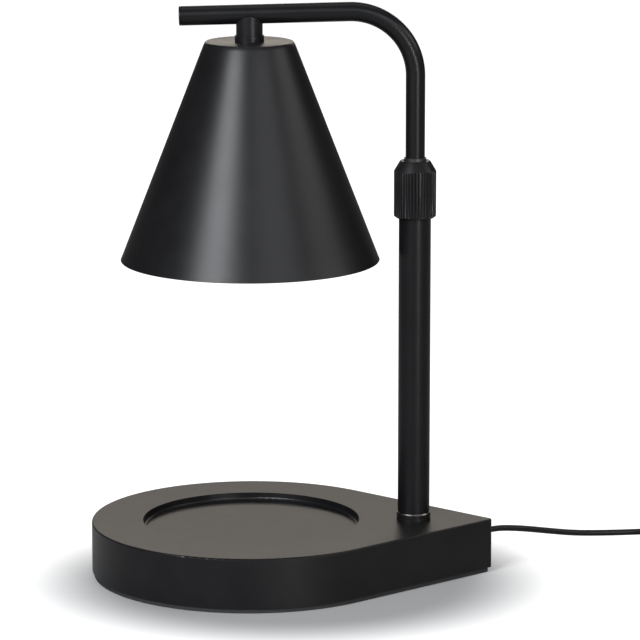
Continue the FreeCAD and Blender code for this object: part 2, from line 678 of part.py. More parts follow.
arm = doc.addObject("PartDesign::Body", "arm_body")
spine = arm_spine(arm, "arm_spine", "-arm_free_end")
arm_section = sketch_in(arm, "arm_section", "XY_Plane", "arm_bottom")
circle_in(arm_section, "arm_radius", "post_place")
circle_in(arm_section, "arm_radius - arm_wall", "post_place")
arm_pipe = arm.newObject("PartDesign::AdditivePipe", "arm_pipe")
arm_pipe.Profile = arm_section
arm_pipe.Spine = (spine, [])
doc.recompute()
wire_hole = sketch_in(arm, "wire_hole_outline", "XY_Plane", SHADE_TOP)
circle_in(wire_hole, "wire_hole_radius")
pocket(arm, "wire_hole", wire_hole, "stem_tall", upward=True)
piece("arm_tube", arm)

cap_disc = cylinder("cap_disc", "arm_radius", "end_cap_thick")
cap_plug = cylinder("cap_plug", "arm_radius - arm_wall", "end_cap_plug", z="-end_cap_plug")
end_cap = fuse("end_cap_solid", cap_disc, cap_plug)
place(
    end_cap, "-arm_free_end", "0", arm_height("-arm_free_end"),
    "-(90 + arm_droop)", FreeCAD.Vector(0, 1, 0),
)
end_cap.Label = "arm_end_cap"
pieces.append(end_cap)

bush_radius = f"({post_bore} - running_gap)"
piece(
    "arm_guide_bush", tube("guide_bush", bush_radius, "arm_radius", "bush_tall", "arm_bottom"),
    x="post_place",
)

# Stem: hangs the shade from the arm. Its top is two pointed ears that clasp the tube.

STEM_AXIS = arm_height("0")
EAR_FOOT = f"({STEM_AXIS} - arm_radius)"
EAR_RISE = "(arm_radius - saddle_apex_drop)"
HALF_CHORD = f"(sqrt(stem_radius ^ 2 + {EAR_RISE} ^ 2) / 2)"
CURVE_DROP = f"sqrt(saddle_curve ^ 2 - {HALF_CHORD} ^ 2)"
EAR_CENTRE_X = f"(stem_radius / 2 - {CURVE_DROP} * {EAR_RISE} / (2 * {HALF_CHORD}))"
EAR_CENTRE_Z = f"({EAR_FOOT} + {EAR_RISE} / 2 - {CURVE_DROP} * stem_radius / (2 * {HALF_CHORD}))"
ear_sides = [
    cylinder(
        f"ear_side_{n}", "saddle_curve", "4 * stem_radius", f"{sign} * {EAR_CENTRE_X}", "2 * stem_radius",
        EAR_CENTRE_Z, turn="90", axis=FreeCAD.Vector(1, 0, 0),
    )
    for n, sign in enumerate(("1", "-1"))
]
stem_rod = cylinder("stem_rod", "stem_radius", "stem_tall", z=SHADE_TOP)
arm_path = lying(cylinder, "arm_path", "arm_radius", "4 * stem_radius")
place(
    arm_path, "2 * stem_radius", "0", f"{STEM_AXIS} + 2 * stem_radius * tan(arm_droop * 1 deg)",
    "-(90 + arm_droop)", FreeCAD.Vector(0, 1, 0),
)
stem_bore = cylinder("stem_bore", "stem_bore", "stem_tall", z=SHADE_TOP)
stem_socket = cylinder("stem_socket", "nipple_radius", "nipple_up", z=SHADE_TOP)
piece(
    "stem",
    cut(
        "stem_cut",
        common("stem_ears", stem_rod, *ear_sides),
        fuse("stem_tools", arm_path, stem_bore, stem_socket),
    ),
)
piece("stem_ring", tube("stem_ring", "stem_ring_radius", "stem_radius", "stem_ring_tall", SHADE_TOP))

# Shade: a spun cone with a flat top, open below

WALL_LEVEL = "(shade_wall / cos(atan((shade_rim_radius - shade_top_radius) / shade_tall)))"
shade_outside = cone("shade_outside", "shade_rim_radius", "shade_top_radius", "shade_tall", z=SHADE_RIM)
shade_inside = cone(
    "shade_inside", f"shade_rim_radius - {WALL_LEVEL}",
    f"shade_top_radius - {WALL_LEVEL} + shade_wall * (shade_rim_radius - shade_top_radius) / shade_tall",
    "shade_tall - shade_wall", z=SHADE_RIM,
)
shade_rounded = rounded(
    "shade_top_edge", shade_outside, "shade_edge_round",
    lambda e: at_height(e, number(SHADE_TOP)) and farthest(e) > number("shade_top_radius") - 1,
)
shade_hole = cylinder(
    "shade_hole", "nipple_radius + screw_gap", "3 * shade_wall", z=f"{SHADE_TOP} - 2 * shade_wall",
)
piece("shade", cut("shade_cut", shade_rounded, fuse("shade_tools", shade_inside, shade_hole)))

SHADE_UNDER = f"({SHADE_TOP} - shade_wall)"
NIPPLE_BOTTOM = f"({SHADE_UNDER} - nipple_down)"
piece(
    "stem_nipple",
    tube("nipple", "nipple_radius", "stem_bore", "nipple_up + shade_wall + nipple_down", NIPPLE_BOTTOM),
)
piece(
    "shade_washer",
    tube(
        "shade_washer", "shade_washer_radius", "nipple_radius + screw_gap", "shade_washer_thick",
        f"{SHADE_UNDER} - shade_washer_thick",
    ),
)
BRACKET_TOP = f"({SHADE_UNDER} - shade_washer_thick)"
SHADE_NUT_BOTTOM = f"({BRACKET_TOP} - bracket_thick - shade_nut_thick)"
shade_nut = cut(
    "shade_nut_cut",
    hexagon("shade_nut_hexagon", "shade_nut_flats", "shade_nut_thick", SHADE_NUT_BOTTOM),
    cylinder("shade_nut_bore", "nipple_radius + screw_gap", "shade_nut_thick", z=SHADE_NUT_BOTTOM),
)
piece("shade_nut", shade_nut)

# Stirrup that holds the lampholder by its two flat sides

HOLDER_TOP = f"({BRACKET_TOP} - bracket_thick - holder_below_bracket)"
HOLDER_BOTTOM = f"({HOLDER_TOP} - holder_tall)"
strap = block(
    "bracket_block", "2 * holder_flat + 2 * bracket_thick", "bracket_wide", "bracket_drop", "0", "0",
    f"{BRACKET_TOP} - bracket_drop",
)
strap_inside = block(
    "bracket_inside", "2 * holder_flat", "bracket_wide", "bracket_drop - bracket_thick", "0", "0",
    f"{BRACKET_TOP} - bracket_drop",
)
strap_hole = cylinder(
    "bracket_hole", "nipple_radius + screw_gap", "3 * bracket_thick",
    z=f"{BRACKET_TOP} - 2 * bracket_thick",
)
HOLDER_SCREW_HEIGHT = f"({HOLDER_TOP} - holder_screw_rise)"
side_holes = lying(
    cylinder, "bracket_side_holes", "holder_screw_radius + screw_gap", "4 * holder_flat", x="-2 * holder_flat"
)
bind(side_holes, Placement__Base__z=HOLDER_SCREW_HEIGHT)
piece(
    "holder_bracket",
    cut("bracket_cut", strap, fuse("bracket_tools", strap_inside, strap_hole, side_holes)),
)

# Ceramic lampholder: two arc slots, each with a keyhole at its open end, let the pins twist

PIN_RING = "(pin_spacing / 2)"
SHANK_ROOM = "(pin_radius + slot_gap)"
HEAD_ROOM = "(pin_head_radius + slot_gap)"
CAVITY_BOTTOM = f"({HOLDER_BOTTOM} + slot_depth)"
CAVITY_TALL = "(pin_head_tall + 2 * slot_gap + contact_thick)"
holder_round = cylinder("holder_round", "holder_radius", "holder_tall", z=HOLDER_BOTTOM)
holder_width = block(
    "holder_width", "2 * holder_flat", "2 * holder_radius", "holder_tall", "0", "0", HOLDER_BOTTOM,
)
holder_solid = common("holder_solid", holder_round, holder_width)
cavity = cut(
    "holder_cavity",
    cylinder("cavity_outer", f"{PIN_RING} + {HEAD_ROOM}", CAVITY_TALL, z=CAVITY_BOTTOM),
    cylinder("cavity_inner", f"{PIN_RING} - {HEAD_ROOM}", CAVITY_TALL, z=CAVITY_BOTTOM),
)


def slot_arc(name, start):
    """One slot's arc, from its closed end at the start angle back through the twist."""
    outer = cylinder(name + "_outer", f"{PIN_RING} + {SHANK_ROOM}", "slot_depth", z=HOLDER_BOTTOM)
    inner = cylinder(name + "_inner", f"{PIN_RING} - {SHANK_ROOM}", "slot_depth", z=HOLDER_BOTTOM)
    bind(outer, Angle="twist_angle")
    arc = cut(name + "_arc", outer, inner)
    return place(arc, turn=f"{start} - twist_angle", axis=FreeCAD.Vector(0, 0, 1))


slot_tools = []
for n, start in enumerate((0, 180)):
    slot_tools += [
        slot_arc(f"slot_{n}", start),
        cylinder(
            f"slot_end_{n}", SHANK_ROOM, "slot_depth", f"{PIN_RING} * cos({start} deg)",
            f"{PIN_RING} * sin({start} deg)", HOLDER_BOTTOM,
        ),
        cylinder(
            f"slot_key_{n}", HEAD_ROOM, "slot_depth", f"{PIN_RING} * cos(({start} - twist_angle) * 1 deg)",
            f"{PIN_RING} * sin(({start} - twist_angle) * 1 deg)", HOLDER_BOTTOM,
        ),
    ]
holder_side_bore = lying(
    cylinder, "holder_side_bore", "holder_screw_radius + screw_gap", "holder_screw_bite + hole_end_gap",
    x="holder_flat - holder_screw_bite - hole_end_gap",
)
holder_far_bore = lying(
    cylinder, "holder_far_bore", "holder_screw_radius + screw_gap", "holder_screw_bite + hole_end_gap", x="-holder_flat"
)
for bore in (holder_side_bore, holder_far_bore):
    bind(bore, Placement__Base__z=HOLDER_SCREW_HEIGHT)
piece(
    "lampholder",
    cut(
        "holder_cut", holder_solid,
        fuse("holder_tools", cavity, *slot_tools, holder_side_bore, holder_far_bore),
    ),
)

holder_screws = []
for n, side in enumerate((1, -1)):
    facing = FreeCAD.Vector(0, side, 0)
    head_x = f"{side} * (holder_flat + bracket_thick)"
    shank_x = f"{side} * (holder_flat - holder_screw_bite)"
    head = cylinder(
        f"holder_head_{n}", "holder_screw_head", "holder_screw_head_thick", head_x, "0",
        HOLDER_SCREW_HEIGHT, "90", facing,
    )
    shank = cylinder(
        f"holder_shank_{n}", "holder_screw_radius", "holder_screw_bite + bracket_thick", shank_x, "0",
        HOLDER_SCREW_HEIGHT, "90", facing,
    )
    holder_screws.append(fuse(f"holder_screw_{n}", head, shank))
piece("holder_screws", group("holder_screw_group", *holder_screws))

CONTACT_BOTTOM = f"({CAVITY_BOTTOM} + {CAVITY_TALL} - contact_thick)"
contacts = [
    block(
        f"contact_{n}", "contact_wide", "contact_wide", "contact_thick", f"{side} * {PIN_RING}", "0",
        CONTACT_BOTTOM,
    )
    for n, side in enumerate((1, -1))
]
piece("holder_contacts", group("contact_group", *contacts))

# Halogen lamp: ceramic cap, glass reflector bowl, front glass, capsule and two pins

LAMP_TOP = f"({HOLDER_BOTTOM} - lamp_gap)"
CAP_BOTTOM = f"({LAMP_TOP} - lamp_cap_tall)"
BOWL_BOTTOM = f"({CAP_BOTTOM} - reflector_tall)"
piece(
    "lamp_cap",
    cone("lamp_cap_cone", "lamp_neck_radius + 1", "lamp_cap_radius", "lamp_cap_tall", z=CAP_BOTTOM),
)
bowl_outside = [
    ("reflector_radius", "0"), ("0.9 * reflector_radius", "0.32"), ("0.68 * reflector_radius", "0.68"),
    ("lamp_neck_radius", "1"),
]
bowl_inside = [(f"{radius} - reflector_wall", share) for radius, share in reversed(bowl_outside)]
reflector = turned(
    "reflector_body",
    [(radius, f"{BOWL_BOTTOM} + {share} * reflector_tall") for radius, share in bowl_outside + bowl_inside],
)
piece("lamp_reflector", reflector)
piece(
    "lamp_front_glass",
    cylinder("front_glass", "reflector_radius", "lens_thick", z=f"{BOWL_BOTTOM} - lens_thick"),
)
piece(
    "lamp_capsule",
    cylinder("capsule", "capsule_radius", "capsule_tall", z=f"{CAP_BOTTOM} - capsule_tall"),
)
pins = []
for n, side in enumerate((1, -1)):
    shank = cylinder(f"pin_shank_{n}", "pin_radius", "pin_length", f"{side} * {PIN_RING}", "0", LAMP_TOP)
    pin_head = cylinder(
        f"pin_head_{n}", "pin_head_radius", "pin_head_tall", f"{side} * {PIN_RING}", "0", f"{LAMP_TOP} + pin_length"
    )
    pins.append(fuse(f"pin_{n}", shank, pin_head))
piece("lamp_pins", group("pin_group", *pins))


# Flexible leads and the mains cord


def rounded_path(spots):
    """Straight runs joined by arcs, each as large as its two runs allow."""
    edges = []
    radii = []
    here = spots[0]
    for before, corner, after in zip(spots, spots[1:], spots[2:]):
        back = (before - corner).normalize()
        ahead = (after - corner).normalize()
        half_turn = (math.pi - back.getAngle(ahead)) / 2
        reach = 0.45 * min((before - corner).Length, (after - corner).Length)
        radius = reach / math.tan(half_turn)
        enter = corner + back * reach
        leave = corner + ahead * reach
        middle_way = (back + ahead).normalize()
        middle = corner + middle_way * (radius / math.cos(half_turn) - radius)
        edges.append(Part.LineSegment(here, enter).toShape())
        edges.append(Part.Arc(enter, middle, leave).toShape())
        radii.append(radius)
        here = leave
    edges.append(Part.LineSegment(here, spots[-1]).toShape())
    return Part.Wire(edges), radii


def swept(path, radius, start, heading):
    ring = Part.Wire(Part.makeCircle(radius, start, heading))
    solid = path.makePipeShell([ring], True, False)
    drift = abs(solid.Volume / (math.pi * radius ** 2 * path.Length) - 1)
    if drift > 0.01:
        raise RuntimeError(f"a tube's volume is {drift:.3f} off its section times its length")
    return solid


def cord_tube(node, spots, radius):
    path, radii = rounded_path(spots)
    solid = swept(path, radius, spots[0], spots[1] - spots[0])
    print(f"{node}: {path.Length:.1f} mm, radii", " ".join(f"{r:.1f}" for r in radii))
    set_piece(node, solid)
    return path.Length


def vector(x, y, z):
    return FreeCAD.Vector(number(x), number(y), number(z))


# Lead that feeds the lamp: it stretches inside the post, then runs up the arm and down the stem

cord_tube(
    "slack_lead",
    [vector("post_place", "0", PLUG_TOP), vector("post_place", "0", "arm_bottom")],
    number("lead_radius"),
)
droop = math.radians(number("arm_droop"))
bend_centre = vector("post_place - bend_radius", "0", BEND_HEIGHT)
bend_radius = number("bend_radius")
leg_start = vector("post_place", "0", "arm_bottom")
leg_end = vector("post_place", "0", BEND_HEIGHT)


def round_bend(angle):
    return bend_centre + FreeCAD.Vector(math.cos(angle), 0, math.sin(angle)) * bend_radius


bend_end = round_bend(math.pi / 2 + droop)
turn_radius = number("arm_lead_turn")
along_arm = FreeCAD.Vector(-math.cos(droop), 0, -math.sin(droop))
corner = vector("0", "0", arm_height("0"))
corner_angle = math.pi / 2 - droop
corner_reach = turn_radius * math.tan(corner_angle / 2)
corner_start = corner - along_arm * corner_reach
corner_end = corner - FreeCAD.Vector(0, 0, 1) * corner_reach
inward = (corner_start + corner_end) / 2 - corner
corner_middle = corner + inward.normalize() * (turn_radius / math.cos(corner_angle / 2) - turn_radius)
arm_lead_path = Part.Wire([
    Part.LineSegment(leg_start, leg_end).toShape(),
    Part.Arc(leg_end, round_bend((math.pi / 2 + droop) / 2), bend_end).toShape(),
    Part.LineSegment(bend_end, corner_start).toShape(),
    Part.Arc(corner_start, corner_middle, corner_end).toShape(),
    Part.LineSegment(corner_end, vector("0", "0", HOLDER_TOP)).toShape(),
])
set_piece("arm_lead", swept(arm_lead_path, number("lead_radius"), leg_start, FreeCAD.Vector(0, 0, 1)))

# Strain relief in the back face, and what holds and joins the cord inside the base

relief_parts = [
    lying(
        cylinder, "relief_inner_flange", "relief_flange_radius", "relief_flange_thick",
        x="-base_wall - relief_flange_thick",
    ),
    lying(cylinder, "relief_neck", "relief_neck_radius", "base_wall + relief_flange_thick", x="-base_wall"),
    lying(cylinder, "relief_outer_flange", "relief_flange_radius", "relief_flange_thick"),
    lying(cone, "relief_taper", "relief_root_radius", "relief_tip_radius", "relief_length"),
]
piece("strain_relief", along_exit("relief_turned", fuse("relief_solid", *relief_parts)))

face_turn = number(FACE_ANGLE)
outward = FreeCAD.Vector(math.cos(math.radians(face_turn)), math.sin(math.radians(face_turn)), 0)
exit_spot = vector(exit_x, exit_y, "exit_height")
relief_end = exit_spot + outward * number("relief_length")
relief_back = exit_spot - outward * number("base_wall + relief_flange_thick")

BLOCK_X = "(base_radius - block_back_inset)"
terminal = block(
    "terminal_block_body", "block_long", "block_wide", "block_tall", BLOCK_X, "block_place_y",
    COVER_TOP,
)
terminal_bores = [
    cylinder(
        f"terminal_bore_{n}", "block_screw_radius + screw_gap", "block_tall / 2",
        f"{BLOCK_X} + {side} * block_screw_spacing / 2", "block_place_y", f"{COVER_TOP} + block_tall / 2",
    )
    for n, side in enumerate((1, -1))
]
piece("terminal_block", cut("terminal_cut", terminal, fuse("terminal_bores", *terminal_bores)))
terminal_screws = [
    cylinder(
        f"terminal_screw_{n}", "block_screw_radius", "block_tall / 2 - 1",
        f"{BLOCK_X} + {side} * block_screw_spacing / 2", "block_place_y", f"{COVER_TOP} + block_tall / 2",
    )
    for n, side in enumerate((1, -1))
]
piece("terminal_screws", group("terminal_screw_group", *terminal_screws))

# Cord clamp: a bar across the cord on its way in, screwed to the cover plate

clamp_x = f"({exit_x} - clamp_inset * cos({FACE_ANGLE}))"
clamp_y = f"({exit_y} - clamp_inset * sin({FACE_ANGLE}))"


def on_clamp(name, item):
    turned_item = doc.addObject("Part::Compound", name)
    turned_item.Links = [item]
    return place(turned_item, clamp_x, clamp_y, "0", FACE_ANGLE, FreeCAD.Vector(0, 0, 1))


CLAMP_BOTTOM = "(exit_height - clamp_tall / 2)"
clamp_bar = block(
    "clamp_bar", "clamp_wide", "clamp_long", f"exit_height + clamp_tall / 2 - {COVER_TOP}", "0", "0",
    COVER_TOP,
)
clamp_hole = lying(cylinder, "clamp_cord_hole", "lead_radius", "2 * clamp_wide", x="-clamp_wide")
bind(clamp_hole, Placement__Base__z="exit_height")
clamp_bores = [
    cylinder(
        f"clamp_bore_{n}", "clamp_screw_radius + screw_gap", "2 * clamp_tall", "0",
        f"{side} * clamp_screw_spacing / 2", CLAMP_BOTTOM,
    )
    for n, side in enumerate((1, -1))
]
piece(
    "cord_clamp",
    on_clamp("clamp_turned", cut("clamp_cut", clamp_bar, fuse("clamp_tools", clamp_hole, *clamp_bores))),
)
clamp_screws = [
    fuse(
        f"clamp_screw_{n}",
        cylinder(
            f"clamp_shank_{n}", "clamp_screw_radius", "clamp_tall - clamp_screw_lift", "0",
            f"{side} * clamp_screw_spacing / 2", f"{CLAMP_BOTTOM} + clamp_screw_lift",
        ),
        cylinder(
            f"clamp_head_{n}", "clamp_screw_head", "clamp_head_thick", "0", f"{side} * clamp_screw_spacing / 2",
            f"{CLAMP_BOTTOM} + clamp_tall",
        ),
    )
    for n, side in enumerate((1, -1))
]
piece("clamp_screws", on_clamp("clamp_screws_turned", group("clamp_screw_group", *clamp_screws)))

# Two stretches of lead in the base: relief to terminal block, and block to the post's stud

block_side = vector(BLOCK_X, "block_place_y + block_wide / 2", f"{COVER_TOP} + block_tall / 2")
to_clamp_end = "clamp_inset + clamp_wide / 2 - base_wall - relief_flange_thick"
inner_turn = relief_back - outward * number(f"{to_clamp_end} + inner_turn_gap")
live_side = block_side + FreeCAD.Vector(number("block_screw_spacing / 2"), 0, 0)
lamp_side = block_side - vector("block_screw_spacing / 2", "0", "lamp_entry_drop")
cord_tube(
    "cord_inside_base",
    [
        relief_back,
        inner_turn,
        live_side + vector("0", "live_entry_run", "0"),
        live_side,
    ],
    number("lead_radius"),
)
stud_bottom = vector("post_place", "0", "base_top - stud_below")
stud_turn = FreeCAD.Vector(
    stud_bottom.x - number("stud_lead_side"), stud_bottom.y - number("stud_lead_front"), lamp_side.z
)
cord_tube(
    "lead_to_post",
    [
        stud_bottom,
        stud_turn,
        lamp_side + vector("0", "lamp_entry_run", "0"),
        lamp_side,
    ],
    number("lead_radius"),
)

# Free cord: out of the relief, down to the table and along it to the coil

CORD_REST = "(cord_radius + 0.05)"
COIL_OUTER = "(coil_inner_radius + coil_turns_in_layer * coil_turn_pitch)"
COIL_BOTTOM = "(tie_thick + tie_gap + cord_radius)"
coil_entry = vector("coil_place_x", f"coil_place_y + {COIL_OUTER}", COIL_BOTTOM)
end_run = number("2 * cord_radius")
rest = number(CORD_REST)
coil_start = coil_entry - FreeCAD.Vector(end_run, 0, 0)
lead_spots = [
    relief_end,
    relief_end + outward * 9.5,
    FreeCAD.Vector(137.5, 46.0, 10.6),
    FreeCAD.Vector(152.0, 56.4, 6.6),
    FreeCAD.Vector(166.0, 66.0, 2.9),
    FreeCAD.Vector(181.0, 70.6, rest),
    FreeCAD.Vector(199.0, 72.6, rest),
    coil_start - FreeCAD.Vector(15.5, -0.2, 0.3),
    coil_start,
]
cord_length = cord_tube("cord_lead", lead_spots, number("cord_radius"))

# Coil: one unbroken tube that spirals in and out, layer on layer, and climbs where it reverses

STEPS_IN_LAYER = 14
layers = int(number("coil_layers"))
turns_in_layer = number("coil_turns_in_layer")
inner_radius = number("coil_inner_radius")
turn_pitch = number("coil_turn_pitch")
layer_pitch = number("coil_layer_pitch")
coil_centre = vector("coil_place_x", "coil_place_y", COIL_BOTTOM)
climb_turns = turns_in_layer / STEPS_IN_LAYER


def coil_spot(turn):
    """A place on the coil, after so many turns. It starts on +Y and goes round clockwise."""
    layer = min(int(turn / turns_in_layer + 1e-9), layers - 1)
    into = turn - layer * turns_in_layer
    if layer % 2 == 0:
        into = turns_in_layer - into
    radius = inner_radius + turn_pitch * into
    height = 0
    for reverse in range(1, layers):
        past = turn - reverse * turns_in_layer + climb_turns
        share = min(max(past / (2 * climb_turns), 0), 1)
        height += layer_pitch * share * share * (3 - 2 * share)
    angle = math.pi / 2 - 2 * math.pi * turn
    return coil_centre + FreeCAD.Vector(radius * math.cos(angle), radius * math.sin(angle), height)


def coil_heading(turn, last_turn):
    step = 0.002
    low = max(turn - step, 0)
    high = min(turn + step, last_turn)
    return (coil_spot(high) - coil_spot(low)).normalize()


def biarc(start, start_way, end, end_way):
    """Two arcs that leave start and reach end along the given ways."""
    chord = end - start
    both = start_way + end_way
    spread = 2 * (1 - start_way.dot(end_way))
    reach = (math.sqrt(chord.dot(both) ** 2 + spread * chord.dot(chord)) - chord.dot(both)) / spread
    first_corner = start + start_way * reach
    second_corner = end - end_way * reach
    joint = (first_corner + second_corner) / 2
    arcs = []
    for low, corner_spot, high in ((start, first_corner, joint), (joint, second_corner, end)):
        chord_middle = (low + high) / 2
        half_chord = (high - low).Length / 2
        rise = corner_spot - chord_middle
        half_turn = math.atan2(rise.Length, half_chord)
        arc_middle = chord_middle + rise.normalize() * half_chord * math.tan(half_turn / 2)
        arcs.append(Part.Arc(low, arc_middle, high).toShape())
    return arcs


last_turn = layers * turns_in_layer
stops = [last_turn * n / (layers * STEPS_IN_LAYER) for n in range(layers * STEPS_IN_LAYER + 1)]
spots = [coil_spot(stop) for stop in stops]
ways = [coil_heading(stop, last_turn) for stop in stops]
ways[0] = FreeCAD.Vector(1, 0, 0)
ways[-1] = FreeCAD.Vector(0, -1, 0)
coil_edges = [Part.LineSegment(coil_start, spots[0]).toShape()]
for n in range(len(spots) - 1):
    coil_edges += biarc(spots[n], ways[n], spots[n + 1], ways[n + 1])
coil_end = spots[-1] + ways[-1] * end_run
coil_edges.append(Part.LineSegment(spots[-1], coil_end).toShape())
coil_path = Part.Wire(coil_edges)
set_piece("cord_coil", swept(coil_path, number("cord_radius"), coil_start, FreeCAD.Vector(1, 0, 0)))
cord_length += coil_path.Length


def least_gap(path, radius):
    """The least gap of a tube to itself, between points more than half a turn apart."""
    spacing = 1.0
    points = path.discretize(Distance=spacing)
    apart = int(math.pi * inner_radius / spacing)
    cells = {}
    size = 4 * radius
    for n, p in enumerate(points):
        cells.setdefault((int(p.x // size), int(p.y // size), int(p.z // size)), []).append(n)
    least = 1e9
    near = (-1, 0, 1)
    for (i, j, k), members in cells.items():
        around = [m for a in near for b in near for c in near for m in cells.get((i + a, j + b, k + c), [])]
        for n in members:
            for m in around:
                if m - n > apart:
                    least = min(least, points[n].distanceToPoint(points[m]))
    return least - 2 * radius


print(
    f"cord_coil: {coil_path.Length:.1f} mm, least gap to itself {least_gap(coil_path, number('cord_radius')):.2f} mm",
)

# Strap tie round the turns, on the side towards the lamp

COIL_TALL = "((coil_layers - 1) * coil_layer_pitch + 2 * cord_radius)"
tie_inside_long = f"({COIL_OUTER} - coil_inner_radius + 2 * cord_radius + 4 * tie_gap)"
tie_x = f"(coil_place_x - (coil_inner_radius + {COIL_OUTER}) / 2)"
tie_outside = block(
    "tie_outside", f"{tie_inside_long} + 2 * tie_thick", "tie_wide", f"{COIL_TALL} + 2 * tie_gap + 2 * tie_thick",
    tie_x, "coil_place_y", "0",
)
tie_inside = block(
    "tie_inside", tie_inside_long, "tie_wide", f"{COIL_TALL} + 2 * tie_gap", tie_x, "coil_place_y",
    "tie_thick",
)
piece("cord_tie", cut("tie_cut", tie_outside, tie_inside))

# Rotary dimmer in the cord: two half shells, board, potentiometer, thumb wheel and screws

DIMMER_MIDDLE = "dimmer_split"


def upright(edge):
    return abs(edge.BoundBox.ZMax - edge.BoundBox.ZMin) > 1 and edge.BoundBox.XLength < 0.01 and edge.BoundBox.YLength < 0.01


def case_half(name, bottom, height):
    whole = block(name + "_block", "dimmer_wide", "dimmer_long", height, "0", "0", bottom)
    return rounded(name + "_rounded", whole, "dimmer_corner", upright)


def case_hollow(name, bottom, height):
    return block(
        name, "dimmer_wide - 2 * dimmer_wall", "dimmer_long - 2 * dimmer_wall", height, "0", "0", bottom
    )


def case_spots(kind, name, radius, height, bottom):
    return [
        kind(f"{name}_{n}", *radius, height, "0", f"{side} * dimmer_boss_spacing / 2", bottom)
        for n, side in enumerate((1, -1))
    ]


BOARD_BOTTOM = "(dimmer_wall + board_lift)"
BOARD_TOP = "(dimmer_wall + board_lift + board_thick)"
board_posts = [
    cylinder(
        f"board_post_{a}_{b}", "board_post_radius", "board_lift + boss_sink",
        f"{a} * (board_wide / 2 - board_post_inset)", f"{b} * (board_long / 2 - board_post_inset)",
        "dimmer_wall - boss_sink",
    )
    for a in (1, -1) for b in (1, -1)
]
lower_bosses = case_spots(
    cylinder, "lower_boss", ["dimmer_boss_radius"], "dimmer_split - dimmer_wall + boss_sink",
    "dimmer_wall - boss_sink",
)
lower_holes = case_spots(cylinder, "lower_hole", ["dimmer_screw_radius + screw_gap"], "dimmer_split", "0")
lower_sinks = case_spots(
    cylinder, "lower_sink", ["dimmer_screw_head + screw_gap"], "dimmer_head_sink", "0"
)
lower_shell = cut(
    "lower_shell", case_half("lower", "0", "dimmer_split"),
    case_hollow("lower_hollow", "dimmer_wall", "dimmer_split - dimmer_wall"),
)
piece(
    "dimmer_case_bottom",
    cut(
        "lower_cut", fuse("lower_full", lower_shell, *lower_bosses, *board_posts),
        fuse("lower_tools", *lower_holes, *lower_sinks),
    ),
    x="dimmer_place_x", y="dimmer_place_y",
)
UPPER_TALL = "(dimmer_tall - dimmer_split)"
upper_shell = cut(
    "upper_shell", case_half("upper", "dimmer_split", UPPER_TALL),
    case_hollow("upper_hollow", "dimmer_split", f"{UPPER_TALL} - dimmer_wall"),
)
upper_bosses = case_spots(
    cylinder, "upper_boss", ["dimmer_boss_radius"], f"{UPPER_TALL} - dimmer_wall + boss_sink",
    "dimmer_split",
)
upper_pilots = case_spots(
    cylinder, "upper_pilot", ["dimmer_screw_radius + screw_gap"],
    "dimmer_head_sink + dimmer_screw_length + hole_end_gap - dimmer_split", "dimmer_split",
)
wheel_opening = cylinder(
    "wheel_opening", "wheel_radius + free_gap", "dimmer_wall + 2", z="dimmer_tall - dimmer_wall - 1",
)
piece(
    "dimmer_case_top",
    cut(
        "upper_cut", fuse("upper_full", upper_shell, *upper_bosses),
        fuse("upper_tools", wheel_opening, *upper_pilots),
    ),
    x="dimmer_place_x", y="dimmer_place_y",
)
dimmer_screws = [
    fuse(f"dimmer_screw_{n}", head, shank)
    for n, (head, shank) in enumerate(zip(
        case_spots(
            cylinder, "dimmer_head", ["dimmer_screw_head"], "dimmer_head_thick",
            "dimmer_head_sink - dimmer_head_thick",
        ),
        case_spots(
            cylinder, "dimmer_shank", ["dimmer_screw_radius"], "dimmer_screw_length",
            "dimmer_head_sink",
        ),
    ))
]
piece("dimmer_screws", group("dimmer_screw_group", *dimmer_screws), x="dimmer_place_x", y="dimmer_place_y")
piece(
    "dimmer_board", block(
        "board", "board_wide", "board_long", "board_thick", "dimmer_place_x", "dimmer_place_y",
        BOARD_BOTTOM,
    )
)
POT_TOP = f"({BOARD_TOP} + pot_tall)"
pot_body = block("pot_body", "pot_side", "pot_side", "pot_tall", "0", "0", BOARD_TOP)
pot_bore = cylinder(
    "pot_bore", "wheel_pin_radius + running_gap", "pot_pin_hole_depth + hole_end_gap",
    z=f"{POT_TOP} - pot_pin_hole_depth - hole_end_gap",
)
piece("dimmer_potentiometer", cut("pot_cut", pot_body, pot_bore), x="dimmer_place_x", y="dimmer_place_y")
wheel_disc = cylinder("wheel_disc", "wheel_radius", "wheel_top - wheel_bottom", z="wheel_bottom")
wheel_pin = cylinder(
    "wheel_pin", "wheel_pin_radius", f"wheel_bottom - {POT_TOP} + pot_pin_hole_depth + boss_sink",
    z=f"{POT_TOP} - pot_pin_hole_depth",
)
piece("dimmer_wheel", fuse("wheel_solid", wheel_disc, wheel_pin), x="dimmer_place_x", y="dimmer_place_y")

# Coil to dimmer, and dimmer to plug

dimmer_near = vector("dimmer_place_x", "dimmer_place_y + dimmer_long / 2", DIMMER_MIDDLE)
dimmer_far = vector("dimmer_place_x", "dimmer_place_y - dimmer_long / 2", DIMMER_MIDDLE)
cord_length += cord_tube(
    "cord_to_dimmer",
    [
        coil_end,
        coil_end + FreeCAD.Vector(0, -10, 0),
        dimmer_near + FreeCAD.Vector(0, 10, 0),
        dimmer_near,
    ],
    number("cord_radius"),
)

PLUG_MIDDLE = "(plug_high / 2)"
plug_entry = vector("plug_place_x", "plug_rear - plug_relief_long", PLUG_MIDDLE)
bow = [
    [number(f"bow_{way}_{n}") for way in ("side", "along", "down")] for n in ("a", "b", "c", "d")
]
cord_length += cord_tube(
    "cord_to_plug",
    [
        dimmer_far,
        *[dimmer_far + FreeCAD.Vector(-side, -along, -down) for side, along, down in bow],
        *[plug_entry + FreeCAD.Vector(side, -along, -down) for side, along, down in reversed(bow)],
        plug_entry,
    ],
    number("cord_radius"),
)
print(f"free cord: {cord_length:.0f} mm")

# Two-blade plug

